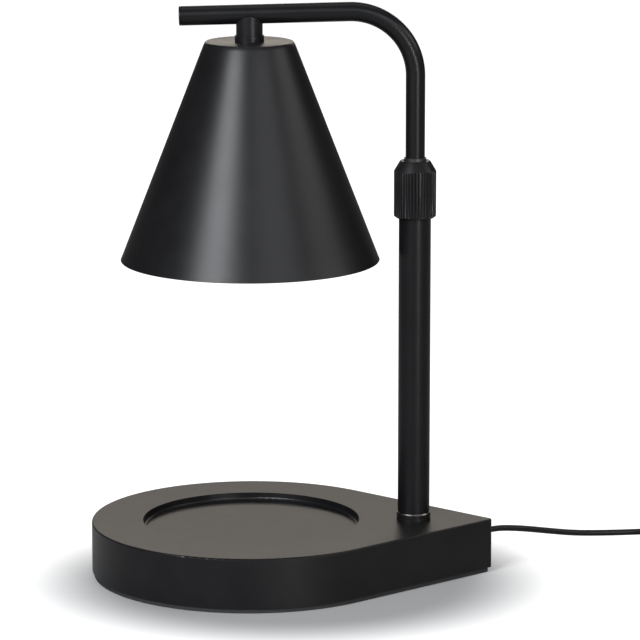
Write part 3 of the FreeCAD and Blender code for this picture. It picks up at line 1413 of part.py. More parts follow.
plug_block = block(
    "plug_block", "plug_wide", "plug_long", "plug_high", "plug_place_x", "plug_rear + plug_long / 2",
    "0",
)
plug_rounded = rounded("plug_rounded", plug_block, "plug_round", lambda e: e.BoundBox.YLength > 1)
plug_relief = cone(
    "plug_relief", "plug_relief_tip", "plug_relief_root", "plug_relief_long + plug_relief_sink", "plug_place_x",
    "plug_rear - plug_relief_long", PLUG_MIDDLE, turn="-90", axis=FreeCAD.Vector(1, 0, 0),
)
blade_hole_middle = "plug_rear + plug_long - blade_sink / 2"
blade_holes = [
    block(
        f"blade_hole_{n}", "blade_thick", "blade_sink", "blade_wide", f"plug_place_x + {side} * blade_spacing / 2",
        blade_hole_middle, f"{PLUG_MIDDLE} - blade_wide / 2",
    )
    for n, side in enumerate((1, -1))
]
piece(
    "plug_body",
    cut("plug_cut", fuse("plug_full", plug_rounded, plug_relief), fuse("blade_holes", *blade_holes)),
)
blades = [
    block(
        f"blade_{n}", "blade_thick", "blade_long + blade_sink", "blade_wide",
        f"plug_place_x + {side} * blade_spacing / 2", "plug_rear + plug_long + (blade_long - blade_sink) / 2",
        f"{PLUG_MIDDLE} - blade_wide / 2",
    )
    for n, side in enumerate((1, -1))
]
piece("plug_blades", group("blade_group", *blades))

# Check every object, then write one file for each piece

doc.recompute()
for item in doc.Objects:
    if "Invalid" in item.State or "Error" in item.State:
        raise RuntimeError(f"{item.Name} failed: {item.State}")
for item in pieces:
    if item.Shape.isNull() or not item.Shape.isValid():
        raise RuntimeError(f"{item.Label} has no valid shape")
    if not item.Shape.Solids:
        raise RuntimeError(f"{item.Label} has no solid")

os.makedirs("parts", exist_ok=True)
for item in pieces:
    item.Shape.exportStep(f"parts/{item.Label}.step")
print(len(pieces), "pieces")
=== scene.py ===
import math

import bmesh
import bpy
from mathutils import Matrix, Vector


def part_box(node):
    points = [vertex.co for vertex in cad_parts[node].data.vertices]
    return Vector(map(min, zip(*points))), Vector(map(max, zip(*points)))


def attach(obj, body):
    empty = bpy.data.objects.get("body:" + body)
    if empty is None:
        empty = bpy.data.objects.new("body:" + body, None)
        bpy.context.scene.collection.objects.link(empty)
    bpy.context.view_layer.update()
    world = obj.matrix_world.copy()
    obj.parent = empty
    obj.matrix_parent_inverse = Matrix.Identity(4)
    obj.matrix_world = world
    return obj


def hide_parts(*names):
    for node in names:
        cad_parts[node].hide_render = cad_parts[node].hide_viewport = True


# Candle warmer lamp: looks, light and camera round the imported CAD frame. Metres, +Z up.

mm = 0.001
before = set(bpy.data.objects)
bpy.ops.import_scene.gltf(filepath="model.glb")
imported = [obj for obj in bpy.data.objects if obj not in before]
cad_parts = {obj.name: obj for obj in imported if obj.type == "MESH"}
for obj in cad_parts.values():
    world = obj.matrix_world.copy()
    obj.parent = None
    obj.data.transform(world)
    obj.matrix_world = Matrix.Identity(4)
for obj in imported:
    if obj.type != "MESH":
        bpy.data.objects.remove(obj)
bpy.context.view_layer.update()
print("frame loaded:", len(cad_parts), "nodes")


# Camera, at the photograph's own place

cameraSettings = {
    "place": (0.0347, -1.9439, 0.52265),
    "downDegrees": 11.436,
    "lens": 223.65,
    "sensor": 36.0,
    "clip": (0.05, 60),
}
cameraData = bpy.data.cameras.new("studioCamera")
cameraData.lens = cameraSettings["lens"]
cameraData.sensor_width = cameraSettings["sensor"]
cameraData.clip_start, cameraData.clip_end = cameraSettings["clip"]
camera = bpy.data.objects.new("studioCamera", cameraData)
camera.location = cameraSettings["place"]
camera.rotation_euler = (math.radians(90 - cameraSettings["downDegrees"]), 0, 0)
bpy.context.scene.collection.objects.link(camera)
bpy.context.scene.camera = camera
print("camera placed")


# Mains cord: one smooth line from the strain relief to the dimmer, and a short one on to the plug

cordShape = {
    "diameter": 3.2 * mm,
    "lengthToDimmer": 1.755,
    "lengthToPlug": 0.0786,
    "exit": (118.08 * mm, 30.09 * mm, 13.0 * mm),
    "exitToPlug": (258.0 * mm, -47.0 * mm, 8.5 * mm),
    "runToCoil": [
        (118.08, 30.09, 13.0), (124.31, 37.26, 13.0), (137.5, 46.0, 10.6), (152.0, 56.4, 6.6),
        (166.0, 66.0, 2.9), (181.0, 70.6, 1.65), (199.0, 72.6, 1.65), (217.8, 74.32, 2.15),
        (233.3, 74.12, 2.45),
    ],
    "coilCentre": (236.5, 49.0, 2.45),
    "coilInnerRadius": 12.8,
    "coilPitch": 3.72,
    "layerTurns": 3.3125,
    "layers": 4,
    "climbPart": 14,  # the climb starts and ends a 14th of a layer from where the turns reverse
    "pointsInTurn": 16,
    "runToDimmer": [(261.62, 45.8, 13.61), (261.62, 35.8, 13.61), (258.0, 17.0, 8.5), (258.0, 7.0, 8.5)],
    "runToPlug": [
        (258.0, -47.0, 8.5), (258.0, -53.5, 8.5), (258.0, -62.7, 5.7), (253.2, -70.6, 3.2),
        (245.0, -75.1, 1.8), (235.4, -75.1, 1.8), (227.2, -70.6, 3.2), (222.4, -62.7, 5.7),
        (222.4, -53.5, 8.5), (222.4, -47.0, 8.5),
    ],
}


def coilPoints(shape):
    # turns that spiral in and out, layer on layer, climbing where they reverse
    turnsInLayer = shape["layerTurns"]
    lastTurn = turnsInLayer * shape["layers"]
    count = int(lastTurn * shape["pointsInTurn"])
    outward = 1 / math.cos(math.pi / shape["pointsInTurn"])  # the spline runs inside its points
    climb = turnsInLayer / shape["climbPart"]
    x, y, z = shape["coilCentre"]
    points = []
    for step in range(1, count):
        turn = lastTurn * step / count
        layer = min(int(turn / turnsInLayer), shape["layers"] - 1)
        inside = turn - layer * turnsInLayer
        if layer % 2 == 0:
            inside = turnsInLayer - inside
        radius = (shape["coilInnerRadius"] + shape["coilPitch"] * inside) * outward
        height = z
        for reverse in range(1, shape["layers"]):
            share = min(max((turn - reverse * turnsInLayer + climb) / (2 * climb), 0), 1)
            height += shape["coilPitch"] * share * share * (3 - 2 * share)
        angle = math.pi / 2 - 2 * math.pi * turn
        points.append((x + radius * math.cos(angle), y + radius * math.sin(angle), height))
    return points


def cordCurve(name, points, diameter):
    data = bpy.data.curves.new(name, "CURVE")
    data.dimensions = "3D"
    spline = data.splines.new("NURBS")
    spline.points.add(len(points) - 1)
    for spot, (x, y, z) in zip(spline.points, points):
        spot.co = (x * mm, y * mm, z * mm, 1)
        spot.radius = diameter / 2  # times a bevel of 1 m, so that the curve's box is its own
    spline.order_u = 3
    spline.use_endpoint_u = True
    spline.resolution_u = 6
    data.bevel_depth = 1.0
    data.bevel_resolution = 4
    data.use_fill_caps = True
    piece = bpy.data.objects.new(name, data)
    bpy.context.scene.collection.objects.link(piece)
    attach(piece, "base")
    return piece


cordToDimmer = cordCurve(
    "mainsCord", cordShape["runToCoil"] + coilPoints(cordShape) + cordShape["runToDimmer"],
    cordShape["diameter"],
)
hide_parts("cord_lead", "cord_coil", "cord_to_dimmer")
cordToPlug = cordCurve("plugCord", cordShape["runToPlug"], cordShape["diameter"])
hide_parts("cord_to_plug")
print("cords laid")


# Materials


def linear(hexColour):
    # sRGB hex to the linear colour that the shader takes
    parts = [int(hexColour[i:i + 2], 16) / 255 for i in (1, 3, 5)]
    return tuple(c / 12.92 if c <= 0.04045 else ((c + 0.055) / 1.055) ** 2.4 for c in parts) + (1,)


def addNode(tree, kind, settings=None, inputs=None):
    # one node with its settings; an input is a value, or another node's socket to link from
    made = tree.nodes.new(kind)
    for name, value in (settings or {}).items():
        setattr(made, name, value)
    for name, value in (inputs or {}).items():
        if isinstance(value, bpy.types.NodeSocket):
            tree.links.new(value, made.inputs[name])
        else:
            made.inputs[name].default_value = value
    return made


def makeFinish(name, look):
    # a mottled colour, a roughness that follows it, and a fine grain as bump
    material = bpy.data.materials.new(name)
    material.use_nodes = True
    tree = material.node_tree
    tree.nodes.clear()
    place = addNode(tree, "ShaderNodeTexCoord")
    stretch = addNode(
        tree, "ShaderNodeMapping",
        inputs={"Vector": place.outputs["Object"], "Scale": look.get("stretch", (1, 1, 1))},
    )
    mottle = addNode(
        tree, "ShaderNodeTexNoise",
        inputs={
            "Vector": stretch.outputs[0], "Scale": 1 / (look["mottleSize"] * mm), "Detail": 3.0,
            "Roughness": 0.55,
        },
    )
    grain = addNode(
        tree, "ShaderNodeTexNoise",
        inputs={
            "Vector": stretch.outputs[0], "Scale": 1 / (look["grainSize"] * mm), "Detail": 2.0,
            "Roughness": 0.6,
        },
    )
    tint = addNode(tree, "ShaderNodeValToRGB", inputs={"Fac": mottle.outputs["Fac"]})
    tint.color_ramp.elements[0].position = 0.35
    tint.color_ramp.elements[0].color = linear(look["dark"])
    tint.color_ramp.elements[1].position = 0.65
    tint.color_ramp.elements[1].color = linear(look["pale"])
    sheen = addNode(
        tree, "ShaderNodeMapRange",
        inputs={
            "Value": mottle.outputs["Fac"], "From Min": 0.3, "From Max": 0.7,
            "To Min": look["roughness"] - look["roughnessSpread"],
            "To Max": look["roughness"] + look["roughnessSpread"],
        },
    )
    bump = addNode(
        tree, "ShaderNodeBump",
        inputs={
            "Height": grain.outputs["Fac"], "Strength": look["grainStrength"],
            "Distance": look["grainDepth"] * mm,
        },
    )
    shader = addNode(
        tree, "ShaderNodeBsdfPrincipled",
        inputs={
            "Base Color": tint.outputs["Color"], "Roughness": sheen.outputs["Result"],
            "Normal": bump.outputs["Normal"], "Metallic": look.get("metallic", 0.0),
            "Transmission Weight": look.get("transmission", 0.0),
            "Specular IOR Level": look.get("specular", 0.5),
        },
    )
    if "ior" in look:
        shader.inputs["IOR"].default_value = look["ior"]
    addNode(tree, "ShaderNodeOutputMaterial", inputs={"Surface": shader.outputs[0]})
    return material


looks = {
    # steel under black powder coat: fine matte, a soft wide highlight and a faint orange peel
    "blackPowderCoat": {
        "dark": "#0e0e0f", "pale": "#111112", "mottleSize": 14.0, "roughness": 0.37, "roughnessSpread": 0.01,
        "grainSize": 0.5, "grainStrength": 0.2, "grainDepth": 0.04, "specular": 0.2,
    },
    # tubes under a smoother black coat: a narrower highlight down their length
    "blackSatinTube": {
        "dark": "#0c0c0d", "pale": "#0e0e0f", "mottleSize": 14.0, "roughness": 0.33, "roughnessSpread": 0.01,
        "grainSize": 0.5, "grainStrength": 0.12, "grainDepth": 0.03, "specular": 0.18,
    },
    # bright steel finish for a painted highlight: a thin bright line on a turned edge
    "paintedHighlightSteel": {
        "dark": "#66625d", "pale": "#7b7771", "mottleSize": 3.0, "roughness": 0.3, "roughnessSpread": 0.05,
        "grainSize": 0.4, "grainStrength": 0.15, "grainDepth": 0.03, "metallic": 1.0,
    },
    # bright zinc plate on pressed steel: pale blue-grey with soft spangle
    "zincPlatedSteel": {
        "dark": "#a9adb1", "pale": "#c6c9cb", "mottleSize": 2.5, "roughness": 0.34, "roughnessSpread": 0.08,
        "grainSize": 0.4, "grainStrength": 0.15, "grainDepth": 0.03, "metallic": 1.0,
    },
    # sand-cast grey iron: dark, dull and pitted
    "sandCastIron": {
        "dark": "#3b3b3d", "pale": "#56565a", "mottleSize": 4.0, "roughness": 0.72, "roughnessSpread": 0.08,
        "grainSize": 1.2, "grainStrength": 0.7, "grainDepth": 0.25, "metallic": 0.6,
    },
    # turned brass: warm yellow with faint rings from the tool
    "turnedBrass": {
        "dark": "#b08d4c", "pale": "#cfae6a", "mottleSize": 3.0, "roughness": 0.3, "roughnessSpread": 0.06,
        "grainSize": 0.3, "grainStrength": 0.2, "grainDepth": 0.03, "metallic": 1.0,
        "stretch": (0.2, 0.2, 3),
    },
    # closed-cell rubber foam: flat black with fine pores
    "blackRubberFoam": {
        "dark": "#141414", "pale": "#1e1e1e", "mottleSize": 2.0, "roughness": 0.85, "roughnessSpread": 0.05,
        "grainSize": 0.6, "grainStrength": 0.6, "grainDepth": 0.12,
    },
    # moulded nylon: black with a waxy sheen
    "blackNylon": {
        "dark": "#191919", "pale": "#222222", "mottleSize": 5.0, "roughness": 0.45, "roughnessSpread": 0.04,
        "grainSize": 0.4, "grainStrength": 0.2, "grainDepth": 0.03,
    },
    # soft PVC sheath: black with a smooth satin skin
    "blackFlexSheath": {
        "dark": "#0b0b0c", "pale": "#101011", "mottleSize": 6.0, "roughness": 0.4, "roughnessSpread": 0.03,
        "grainSize": 0.5, "grainStrength": 0.15, "grainDepth": 0.02, "specular": 0.25,
    },
    # moulded ABS with a spark-eroded texture: black and finely grained
    "blackTexturedMoulding": {
        "dark": "#171718", "pale": "#1f1f20", "mottleSize": 5.0, "roughness": 0.55, "roughnessSpread": 0.04,
        "grainSize": 0.45, "grainStrength": 0.5, "grainDepth": 0.06,
    },
    # natural nylon: milky white, slightly yellow
    "naturalNylon": {
        "dark": "#dcd8cb", "pale": "#e9e5da", "mottleSize": 5.0, "roughness": 0.42, "roughnessSpread": 0.04,
        "grainSize": 0.5, "grainStrength": 0.15, "grainDepth": 0.03,
    },
    # glass-fibre board under green solder resist: glossy, with a faint weave
    "solderResistBoard": {
        "dark": "#0f4a28", "pale": "#15592f", "mottleSize": 3.0, "roughness": 0.28, "roughnessSpread": 0.05,
        "grainSize": 0.5, "grainStrength": 0.2, "grainDepth": 0.03,
    },
    # pressed steatite: chalky off-white
    "unglazedSteatite": {
        "dark": "#d9d3c5", "pale": "#e8e3d6", "mottleSize": 4.0, "roughness": 0.62, "roughnessSpread": 0.05,
        "grainSize": 0.5, "grainStrength": 0.35, "grainDepth": 0.05,
    },
    # clear lamp glass: nearly colourless, with a faint ripple
    "clearLampGlass": {
        "dark": "#f4f6f6", "pale": "#fbfcfc", "mottleSize": 12.0, "roughness": 0.04, "roughnessSpread": 0.02,
        "grainSize": 3.0, "grainStrength": 0.1, "grainDepth": 0.05, "transmission": 1.0, "ior": 1.47,
    },
    # glass bowl with a mirror coat inside: silvery and slightly warm
    "mirrorCoatedGlass": {
        "dark": "#b9b4a8", "pale": "#cdc9bf", "mottleSize": 6.0, "roughness": 0.14, "roughnessSpread": 0.04,
        "grainSize": 2.5, "grainStrength": 0.6, "grainDepth": 0.2, "metallic": 1.0,
    },
    # nickel plate: bright warm silver
    "nickelPlate": {
        "dark": "#b5b2aa", "pale": "#cbc8c0", "mottleSize": 2.0, "roughness": 0.22, "roughnessSpread": 0.05,
        "grainSize": 0.3, "grainStrength": 0.1, "grainDepth": 0.02, "metallic": 1.0,
    },
}
finishes = {name: makeFinish(name, look) for name, look in looks.items()}

nodeFinishes = {
    "blackPowderCoat": ["base_shell", "shade", "stem", "stem_ring", "arm_end_cap", "lock_collar"],
    "blackSatinTube": ["post_tube", "arm_tube"],
    "paintedHighlightSteel": ["foot_ring"],
    "zincPlatedSteel": [
        "cover_plate", "cover_screws", "ballast_screws", "post_end_plug", "post_washer", "clamp_screws",
        "dimmer_screws", "shade_washer", "holder_bracket", "holder_screws",
    ],
    "sandCastIron": ["ballast_disc"],
    "turnedBrass": [
        "post_stud", "post_nut", "thread_sleeve", "terminal_screws", "stem_nipple", "shade_nut",
        "holder_contacts",
    ],
    "blackRubberFoam": ["foot_pad", "strain_relief"],
    "blackNylon": ["cord_clamp", "cord_tie", "split_sleeve", "arm_guide_bush"],
    "blackFlexSheath": ["slack_lead", "cord_inside_base", "lead_to_post", "arm_lead"],
    "blackTexturedMoulding": [
        "dimmer_case_bottom", "dimmer_case_top", "dimmer_potentiometer", "plug_body", "dimmer_wheel",
    ],
    "naturalNylon": ["terminal_block"],
    "solderResistBoard": ["dimmer_board"],
    "unglazedSteatite": ["lampholder", "lamp_cap"],
    "clearLampGlass": ["lamp_front_glass", "lamp_capsule"],
    "mirrorCoatedGlass": ["lamp_reflector"],
    "nickelPlate": ["lamp_pins", "plug_blades"],
}
for finishName, nodeNames in nodeFinishes.items():
    for nodeName in nodeNames:
        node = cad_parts[nodeName]
        node.data.materials.clear()
        node.data.materials.append(finishes[finishName])
for cordPiece in (cordToDimmer, cordToPlug):
    cordPiece.data.materials.append(finishes["blackFlexSheath"])
print("materials made:", len(finishes))


# Tools for the pieces modelled here


def startClean():
    if bpy.context.object and bpy.context.object.mode != "OBJECT":
        bpy.ops.object.mode_set(mode="OBJECT")
    bpy.ops.object.select_all(action="DESELECT")


def pick(piece, kind, chosen):
    # selects vertices, edges or faces in edit mode by a test on their middle
    mesh = bmesh.from_edit_mesh(piece.data)
    bpy.context.tool_settings.mesh_select_mode = (kind == "verts", kind == "edges", kind == "faces")
    for group in (mesh.verts, mesh.edges, mesh.faces):
        for item in group:
            item.select = False
    for item in getattr(mesh, kind):
        item.select = chosen(item)
    mesh.select_flush_mode()
    bmesh.update_edit_mesh(piece.data)


def turnPiece(name, steps, sides, axis=(0, 0)):
    # a ring that is extruded and scaled from step to step: (radius, height), both in millimetres
    startClean()
    radius, height = steps[0]
    x, y = axis[0] * mm, axis[1] * mm
    bpy.ops.mesh.primitive_circle_add(vertices=sides, radius=radius * mm, location=(x, y, height * mm))
    piece = bpy.context.object
    piece.name = name
    bpy.ops.object.mode_set(mode="EDIT")
    bpy.ops.mesh.select_all(action="SELECT")
    for nextRadius, nextHeight in steps[1:]:
        bpy.ops.mesh.extrude_edges_move(TRANSFORM_OT_translate={"value": (0, 0, (nextHeight - height) * mm)})
        size = nextRadius / radius
        bpy.ops.transform.resize(value=(size, size, 1), center_override=(x, y, nextHeight * mm))
        radius, height = nextRadius, nextHeight
    bpy.ops.mesh.select_all(action="SELECT")
    bpy.ops.mesh.remove_doubles(threshold=0.01 * mm)
    bpy.ops.mesh.select_all(action="DESELECT")
    bpy.ops.mesh.select_non_manifold()
    bpy.ops.mesh.fill_holes(sides=0)
    bpy.ops.mesh.select_all(action="SELECT")
    bpy.ops.mesh.normals_make_consistent(inside=False)
    bpy.ops.object.mode_set(mode="OBJECT")
    return piece


def finishPiece(piece, body, finish, smoothDegrees):
    startClean()
    piece.select_set(True)
    bpy.context.view_layer.objects.active = piece
    bpy.ops.object.transform_apply(location=True, rotation=True, scale=True)
    bpy.ops.object.shade_smooth_by_angle(angle=math.radians(smoothDegrees))
    piece.data.materials.clear()
    piece.data.materials.append(finishes[finish])
    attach(piece, body)


# Shade: spun steel cone with a small round at the crown and at the rim

shadeShape = {
    "rim": 64.4, "rimHeight": 160.2, "crown": 22.0, "crownHeight": 269.3, "wall": 1.0, "hole": 4.05,
    "levelCut": 1.07,  # the leaning wall is this much wider on a level cut
    "outerShares": (0.02, 0.1, 0.3, 0.5, 0.7, 0.9, 0.985), "innerShares": (0.9, 0.5, 0.1), "sides": 192,
}


def shadeSteps(shape):
    # down the outside from the crown, round the rim and up the inside again
    rim, low, crown, top = shape["rim"], shape["rimHeight"], shape["crown"], shape["crownHeight"]
    wall, hole = shape["wall"], shape["hole"]
    acrossWall = wall * shape["levelCut"]
    slope = (rim - crown) / (top - low)
    steps = [(hole, top), (crown - 0.75, top), (crown - 0.35, top - 0.12), (crown + 0.05, top - 0.55)]
    for share in shape["outerShares"]:
        steps.append((crown + (rim - crown) * share, top - (top - low) * share))
    steps += [(rim - 0.03, low + 0.25), (rim - 0.25, low), (rim - 0.75, low), (rim - acrossWall, low + 0.2)]
    for share in shape["innerShares"]:
        steps.append((crown - acrossWall + (rim - crown) * share, top - (top - low) * share))
    steps += [(crown - acrossWall + slope * wall, top - wall), (hole, top - wall), (hole, top)]
    return steps


shade = turnPiece("shadeCone", shadeSteps(shadeShape), shadeShape["sides"])
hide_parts("shade")
finishPiece(shade, "arm", "blackPowderCoat", 40)
print("shade made")


# Locking collar with its ribs


def ribbedPiece(name, shape):
    # a turned piece: one column of points in every few moves in, and the ribs stand between them
    columns = shape["ribs"] * shape["pointsInRib"]
    piece = turnPiece(name, shape["steps"], columns, shape["axis"])
    lift = piece.location.z

    def inGroove(vert):
        column = round(math.atan2(vert.co.y, vert.co.x) / (2 * math.pi) * columns)
        onBand = shape["bandLow"] < (vert.co.z + lift) / mm < shape["bandHigh"]
        onRim = math.hypot(vert.co.x, vert.co.y) > shape["bandInside"] * mm
        return onBand and onRim and column % shape["pointsInRib"] == 0

    startClean()
    piece.select_set(True)
    bpy.context.view_layer.objects.active = piece
    bpy.ops.object.mode_set(mode="EDIT")
    pick(piece, "verts", inGroove)
    size = 1 - shape["grooveDepth"] / shape["radius"]
    x, y = shape["axis"]
    bpy.ops.transform.resize(value=(size, size, 1), center_override=(x * mm, y * mm, lift))
    bpy.ops.object.mode_set(mode="OBJECT")
    return piece


collarShape = {
    "axis": (81.8, 0), "radius": 10.5, "ribs": 40, "pointsInRib": 4, "grooveDepth": 0.45,
    "bandLow": 182.6, "bandHigh": 205.1, "bandInside": 10.0,
    "steps": [
        (8.27, 181.5), (9.4, 181.5), (9.5, 181.95), (10.1, 182.05), (10.4, 182.3), (10.5, 182.7),
        (10.5, 194.0), (10.5, 204.5), (10.45, 205.0), (10.2, 205.4), (7.6, 209.75), (7.4, 210.0),
        (7.2, 210.0), (5.85, 210.0), (5.85, 207.1), (7.5, 200.7), (8.27, 200.7), (8.27, 181.5),
    ],
}
collar = ribbedPiece("ribbedCollar", collarShape)
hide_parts("lock_collar")
finishPiece(collar, "collar", "blackPowderCoat", 25)
print("collar made")


# Ring at the post's foot: a groove round its middle, and its top chamfer in bright steel as a painted
# highlight

ringShape = {
    "axis": (81.8, 0), "sides": 96, "postRadius": 8.05, "paintedHighlightFrom": 30.75,
    "steps": [
        (8.0, 27.4), (8.55, 27.4), (8.55, 28.85), (8.3, 29.0), (8.3, 29.3), (8.55, 29.45), (8.55, 30.8),
        (8.2, 31.3), (8.0, 31.35), (8.0, 27.4),
    ],
}
footRing = turnPiece("footRingPaintedHighlight", ringShape["steps"], ringShape["sides"], ringShape["axis"])
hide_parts("foot_ring")
finishPiece(footRing, "base", "blackPowderCoat", 30)
footRing.data.materials.append(finishes["paintedHighlightSteel"])
# the faces of the top chamfer take the bright steel: a painted highlight line
for face in footRing.data.polygons:
    fromAxis = math.hypot(face.center.x - ringShape["axis"][0] * mm, face.center.y)
    if fromAxis > ringShape["postRadius"] * mm and face.center.z > ringShape["paintedHighlightFrom"] * mm:
        face.material_index = 1
print("foot ring made")


# Strain relief: flanged neck in the wall, then a ribbed taper

reliefShape = {
    "faceDegrees": 49.01, "exit": (104.96, 15.0, 13.0), "bore": 1.62, "inside": -3.7, "long": 20.0,
    "outerRadius": 3.6, "taper": 1.2, "ribs": 6, "ribStart": 1.5, "ribLong": 1.9, "ribDeep": 0.8,
    "gap": 0.95, "sides": 40,
}


def reliefSteps(shape):
    # along its own axis: out of the bore, over the flanges that grip the wall, along the ribs and back
    bore, inside, long = shape["bore"], shape["inside"], shape["long"]
    steps = [(bore, inside), (5.2, inside), (5.2, -2.2), (4.0, -2.2), (4.0, 0.0), (5.0, 0.0), (5.2, 0.2)]
    steps += [(5.2, 1.2), (5.0, shape["ribStart"])]
    reach = shape["ribStart"]
    for rib in range(shape["ribs"]):
        outer = shape["outerRadius"] - shape["taper"] * reach / long
        ribFrom = reach + shape["gap"]
        steps += [(outer - shape["ribDeep"], reach), (outer - shape["ribDeep"], ribFrom)]
        reach = ribFrom + shape["ribLong"]
        steps += [(outer, ribFrom + 0.1), (outer - 0.1, reach)]
    steps += [(2.45, long - 0.6), (2.3, long - 0.1), (2.1, long), (bore, long), (bore, inside)]
    return steps


relief = turnPiece("ribbedStrainRelief", reliefSteps(reliefShape), reliefShape["sides"])
faceAngle = math.radians(reliefShape["faceDegrees"])
exitX, exitY, exitZ = reliefShape["exit"]
relief.rotation_euler = (0, math.radians(90), faceAngle)
relief.location = (
    (exitX + reliefShape["inside"] * math.cos(faceAngle)) * mm,
    (exitY + reliefShape["inside"] * math.sin(faceAngle)) * mm,
    exitZ * mm,
)
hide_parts("strain_relief")
finishPiece(relief, "base", "blackRubberFoam", 30)
print("strain relief made")


# Thumb wheel of the dimmer, with a ribbed rim

wheelShape = {
    "axis": (258.0, -20.0), "radius": 9.5, "ribs": 36, "pointsInRib": 4, "grooveDepth": 0.35,
    "bandLow": 13.2, "bandHigh": 18.5, "bandInside": 9.1,
    "steps": [
        (1.5, 7.8), (1.5, 13.0), (9.2, 13.0), (9.5, 13.3), (9.5, 17.9), (9.2, 18.4), (8.7, 18.6),
        (6.6, 18.6), (6.2, 18.2), (5.8, 18.1), (2.0, 18.1),
    ],
}
wheel = ribbedPiece("ribbedThumbWheel", wheelShape)
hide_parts("dimmer_wheel")
finishPiece(wheel, "dimmer_wheel", "blackTexturedMoulding", 25)
print("thumb wheel made")


# Dimmer, plug and arm end: the node's own form with its sharp edges rounded

softEdges = {
    "dimmer_case_top": {
        "piece": "dimmerTopCase", "body": "base", "slot": "black_moulding",
        "finish": "blackTexturedMoulding", "round": 0.7,
    },
    "dimmer_case_bottom": {
        "piece": "dimmerBottomCase", "body": "base", "slot": "black_moulding",
        "finish": "blackTexturedMoulding", "round": 0.45,
    },
    "plug_body": {
        "piece": "plugMoulding", "body": "base", "slot": "black_moulding",
        "finish": "blackTexturedMoulding", "round": 0.8,
    },
    "arm_end_cap": {
        "piece": "armEnd", "body": "arm", "slot": "black_paint",
        "finish": "blackPowderCoat", "round": 0.5,
    },
}
rounding = {"merge": 0.002, "flatDegrees": 1, "sharpDegrees": 50, "segments": 3, "smoothDegrees": 40}


def softenNode(nodeName, plan):
    # a merged copy of a node's mesh, flat faces joined up, then a small bevel where it is sharp
    startClean()
    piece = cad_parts[nodeName].copy()
    piece.data = piece.data.copy()
    piece.name = plan["piece"]
    bpy.context.scene.collection.objects.link(piece)
    piece.hide_render = False
    piece.select_set(True)
    bpy.context.view_layer.objects.active = piece
    bpy.ops.object.mode_set(mode="EDIT")
    bpy.ops.mesh.select_all(action="SELECT")
    bpy.ops.mesh.remove_doubles(threshold=rounding["merge"] * mm)
    bpy.ops.mesh.dissolve_limited(angle_limit=math.radians(rounding["flatDegrees"]))
    bpy.ops.object.mode_set(mode="OBJECT")
    bevel = piece.modifiers.new("edges", "BEVEL")
    bevel.width = plan["round"] * mm
    bevel.segments = rounding["segments"]
    bevel.limit_method = "ANGLE"
    bevel.angle_limit = math.radians(rounding["sharpDegrees"])
    bpy.ops.object.modifier_apply(modifier="edges")
    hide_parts(nodeName)
    finishPiece(piece, plan["body"], plan["finish"], rounding["smoothDegrees"])


for nodeName, plan in softEdges.items():
    softenNode(nodeName, plan)
print("edges softened:", len(softEdges))


# Strap round the coil: one band with round corners

strapShape = {"thick": 0.6, "corner": 2.6, "cornerSteps": 6}
tieLow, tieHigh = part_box("cord_tie")
startClean()
bpy.ops.mesh.primitive_cube_add(size=1, location=[(low + high) / 2 for low, high in zip(tieLow, tieHigh)])
strap = bpy.context.object
strap.name = "coilStrap"
strap.scale = [high - low for low, high in zip(tieLow, tieHigh)]
bpy.ops.object.transform_apply(location=True, rotation=True, scale=True)
bpy.ops.object.mode_set(mode="EDIT")
pick(strap, "edges", lambda edge: abs(edge.verts[0].co.y - edge.verts[1].co.y) > 1 * mm)
bpy.ops.mesh.bevel(offset=strapShape["corner"] * mm, segments=strapShape["cornerSteps"])
pick(strap, "faces", lambda face: abs(face.normal.y) > 0.9)
bpy.ops.mesh.delete(type="ONLY_FACE")
bpy.ops.object.mode_set(mode="OBJECT")
band = strap.modifiers.new("thickness", "SOLIDIFY")
band.thickness = strapShape["thick"] * mm
band.offset = -1
bpy.ops.object.modifier_apply(modifier="thickness")
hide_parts("cord_tie")
finishPiece(strap, "base", "blackNylon", 35)
print("strap made")


# Floor, world and lamps

lightPlan = {
    "key": {  # square, high at the front left
        "place": (-0.85, -1.25, 1.02), "size": (0.75, 0.75), "watts": 48.0, "aim": (0.0, 0.0, 0.2),
        "tint": "#f9fbff",
    },
    "fill": {  # wide, high at the front right
        "place": (0.80, -1.50, 1.30), "size": (1.4, 0.5), "watts": 12.0, "aim": (0.0, 0.0, 0.2),
        "tint": "#f9fbff",
    },
    "strip": {  # narrow, low at the front right
        "place": (0.85, -1.50, 0.28), "size": (0.12, 0.50), "watts": 11.0, "aim": (0.08, 0.0, 0.15),
        "tint": "#ffffff",
    },
    "side": {  # beyond the right edge of the picture
        "place": (1.85, -0.25, 1.15), "size": (1.3, 0.7), "watts": 11.0, "aim": (0.0, 0.0, 0.2),
        "tint": "#ffffff",
    },
    "top": {  # overhead
        "place": (0.05, 0.30, 1.60), "size": (1.3, 0.9), "watts": 4.0, "aim": (0.03, 0.0, 0.0),
        "tint": "#ffffff",
    },
    "back": {  # behind, for the warm sheen on the top of the base
        "place": (0.05, 1.60, 0.75), "size": (1.5, 0.5), "watts": 5.6, "aim": (0.03, 0.0, 0.02),
        "tint": "#fff5e8",
    },
}
for lampName, plan in lightPlan.items():
    lampData = bpy.data.lights.new(lampName, "AREA")
    lampData.shape = "RECTANGLE"
    lampData.size, lampData.size_y = plan["size"]
    lampData.energy = plan["watts"]
    lampData.color = linear(plan["tint"])[:3]
    lamp = bpy.data.objects.new(lampName, lampData)
    lamp.visible_camera = False
    lamp.location = plan["place"]
    away = lamp.location - Vector(plan["aim"])
    lamp.rotation_euler = away.to_track_quat("Z", "Y").to_euler()
    bpy.context.scene.collection.objects.link(lamp)

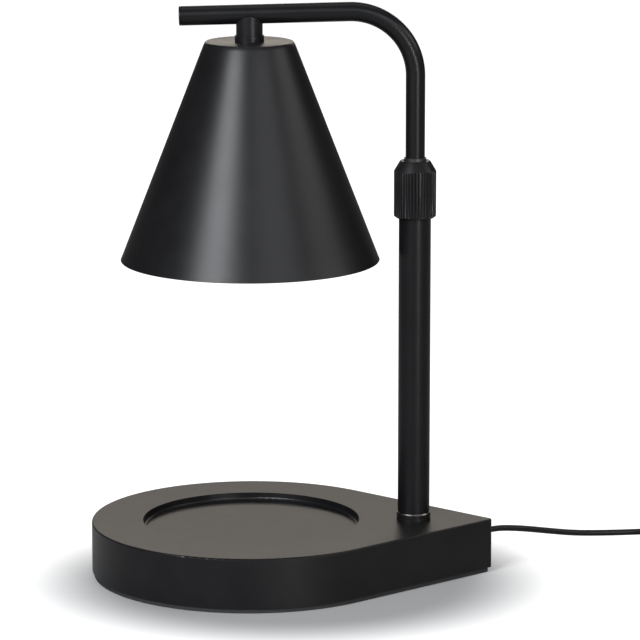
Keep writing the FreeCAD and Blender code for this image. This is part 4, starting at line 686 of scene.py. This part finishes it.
studio = {
    "worldLight": 0.05,
    "floorSize": 16,
    "floorCentre": (0, 3),
    "floorDrop": 0.05 * mm,  # just under the foot pad, so that the two faces don't meet
    "paper": 0.28,
    "glossyShare": 0.12,  # the share of the floor's glow that the black coat mirrors, so it stays black
    # painted shadow: the camera sees the paper's plain grey near the base, where the lamps' shadow also
    # falls, and white further out
    "paintedShadowShift": (-0.018, 0.02, 0),
    "paintedShadowStretch": (0.9, 1, 1),
    "paintedShadowFrom": 0.072,
    "paintedShadowTo": 0.142,
}
world = bpy.data.worlds.new("studioWorld")
bpy.context.scene.world = world
world.use_nodes = True
background = world.node_tree.nodes["Background"]
background.inputs["Color"].default_value = (1.0, 1.0, 1.0, 1)
background.inputs["Strength"].default_value = studio["worldLight"]

startClean()
floorPlace = (*studio["floorCentre"], -studio["floorDrop"])
bpy.ops.mesh.primitive_plane_add(size=studio["floorSize"], location=floorPlace)
floor = bpy.context.object
bpy.ops.object.transform_apply(location=True)
floor.name = "studioFloor"
floorPaper = bpy.data.materials.new("whitePaperFloor")
floorPaper.use_nodes = True
floorTree = floorPaper.node_tree
floorTree.nodes.clear()
rays = addNode(floorTree, "ShaderNodeLightPath")
mirrored = addNode(
    floorTree, "ShaderNodeMath", {"operation": "MULTIPLY"},
    {0: rays.outputs["Is Glossy Ray"], 1: studio["glossyShare"]},
)
seen = addNode(
    floorTree, "ShaderNodeMath", {"operation": "ADD"},
    {0: rays.outputs["Is Camera Ray"], 1: mirrored.outputs[0]},
)
seenThrough = addNode(
    floorTree, "ShaderNodeMath", {"operation": "ADD"},
    {0: seen.outputs[0], 1: rays.outputs["Is Transmission Ray"]},
)
where = addNode(floorTree, "ShaderNodeTexCoord")
fromLamp = addNode(
    floorTree, "ShaderNodeMapping",
    inputs={
        "Vector": where.outputs["Object"], "Location": studio["paintedShadowShift"],
        "Scale": studio["paintedShadowStretch"],
    },
)
distance = addNode(floorTree, "ShaderNodeVectorMath", {"operation": "LENGTH"}, {0: fromLamp.outputs[0]})
# painted shadow: the glow that whitens the floor fades out towards the base
paintedShadowFade = addNode(
    floorTree, "ShaderNodeMapRange", {"interpolation_type": "SMOOTHSTEP"},
    {
        "Value": distance.outputs["Value"], "From Min": studio["paintedShadowFrom"], "From Max": studio["paintedShadowTo"],
        "To Min": 0.0, "To Max": 1.0,
    },
)
lift = addNode(
    floorTree, "ShaderNodeMath", {"operation": "MULTIPLY"},
    {0: seenThrough.outputs[0], 1: paintedShadowFade.outputs["Result"]},
)
grey = studio["paper"]
paper = addNode(floorTree, "ShaderNodeBsdfDiffuse", inputs={"Color": (grey, grey, grey, 1)})
glow = addNode(floorTree, "ShaderNodeEmission", inputs={"Strength": lift.outputs[0]})
both = addNode(floorTree, "ShaderNodeAddShader", inputs={0: paper.outputs[0], 1: glow.outputs[0]})
addNode(floorTree, "ShaderNodeOutputMaterial", inputs={"Surface": both.outputs[0]})
floor.data.materials.append(floorPaper)
bpy.context.scene.view_settings.view_transform = "Standard"
print("studio made")


# A last update of the view layer

bpy.context.view_layer.update()
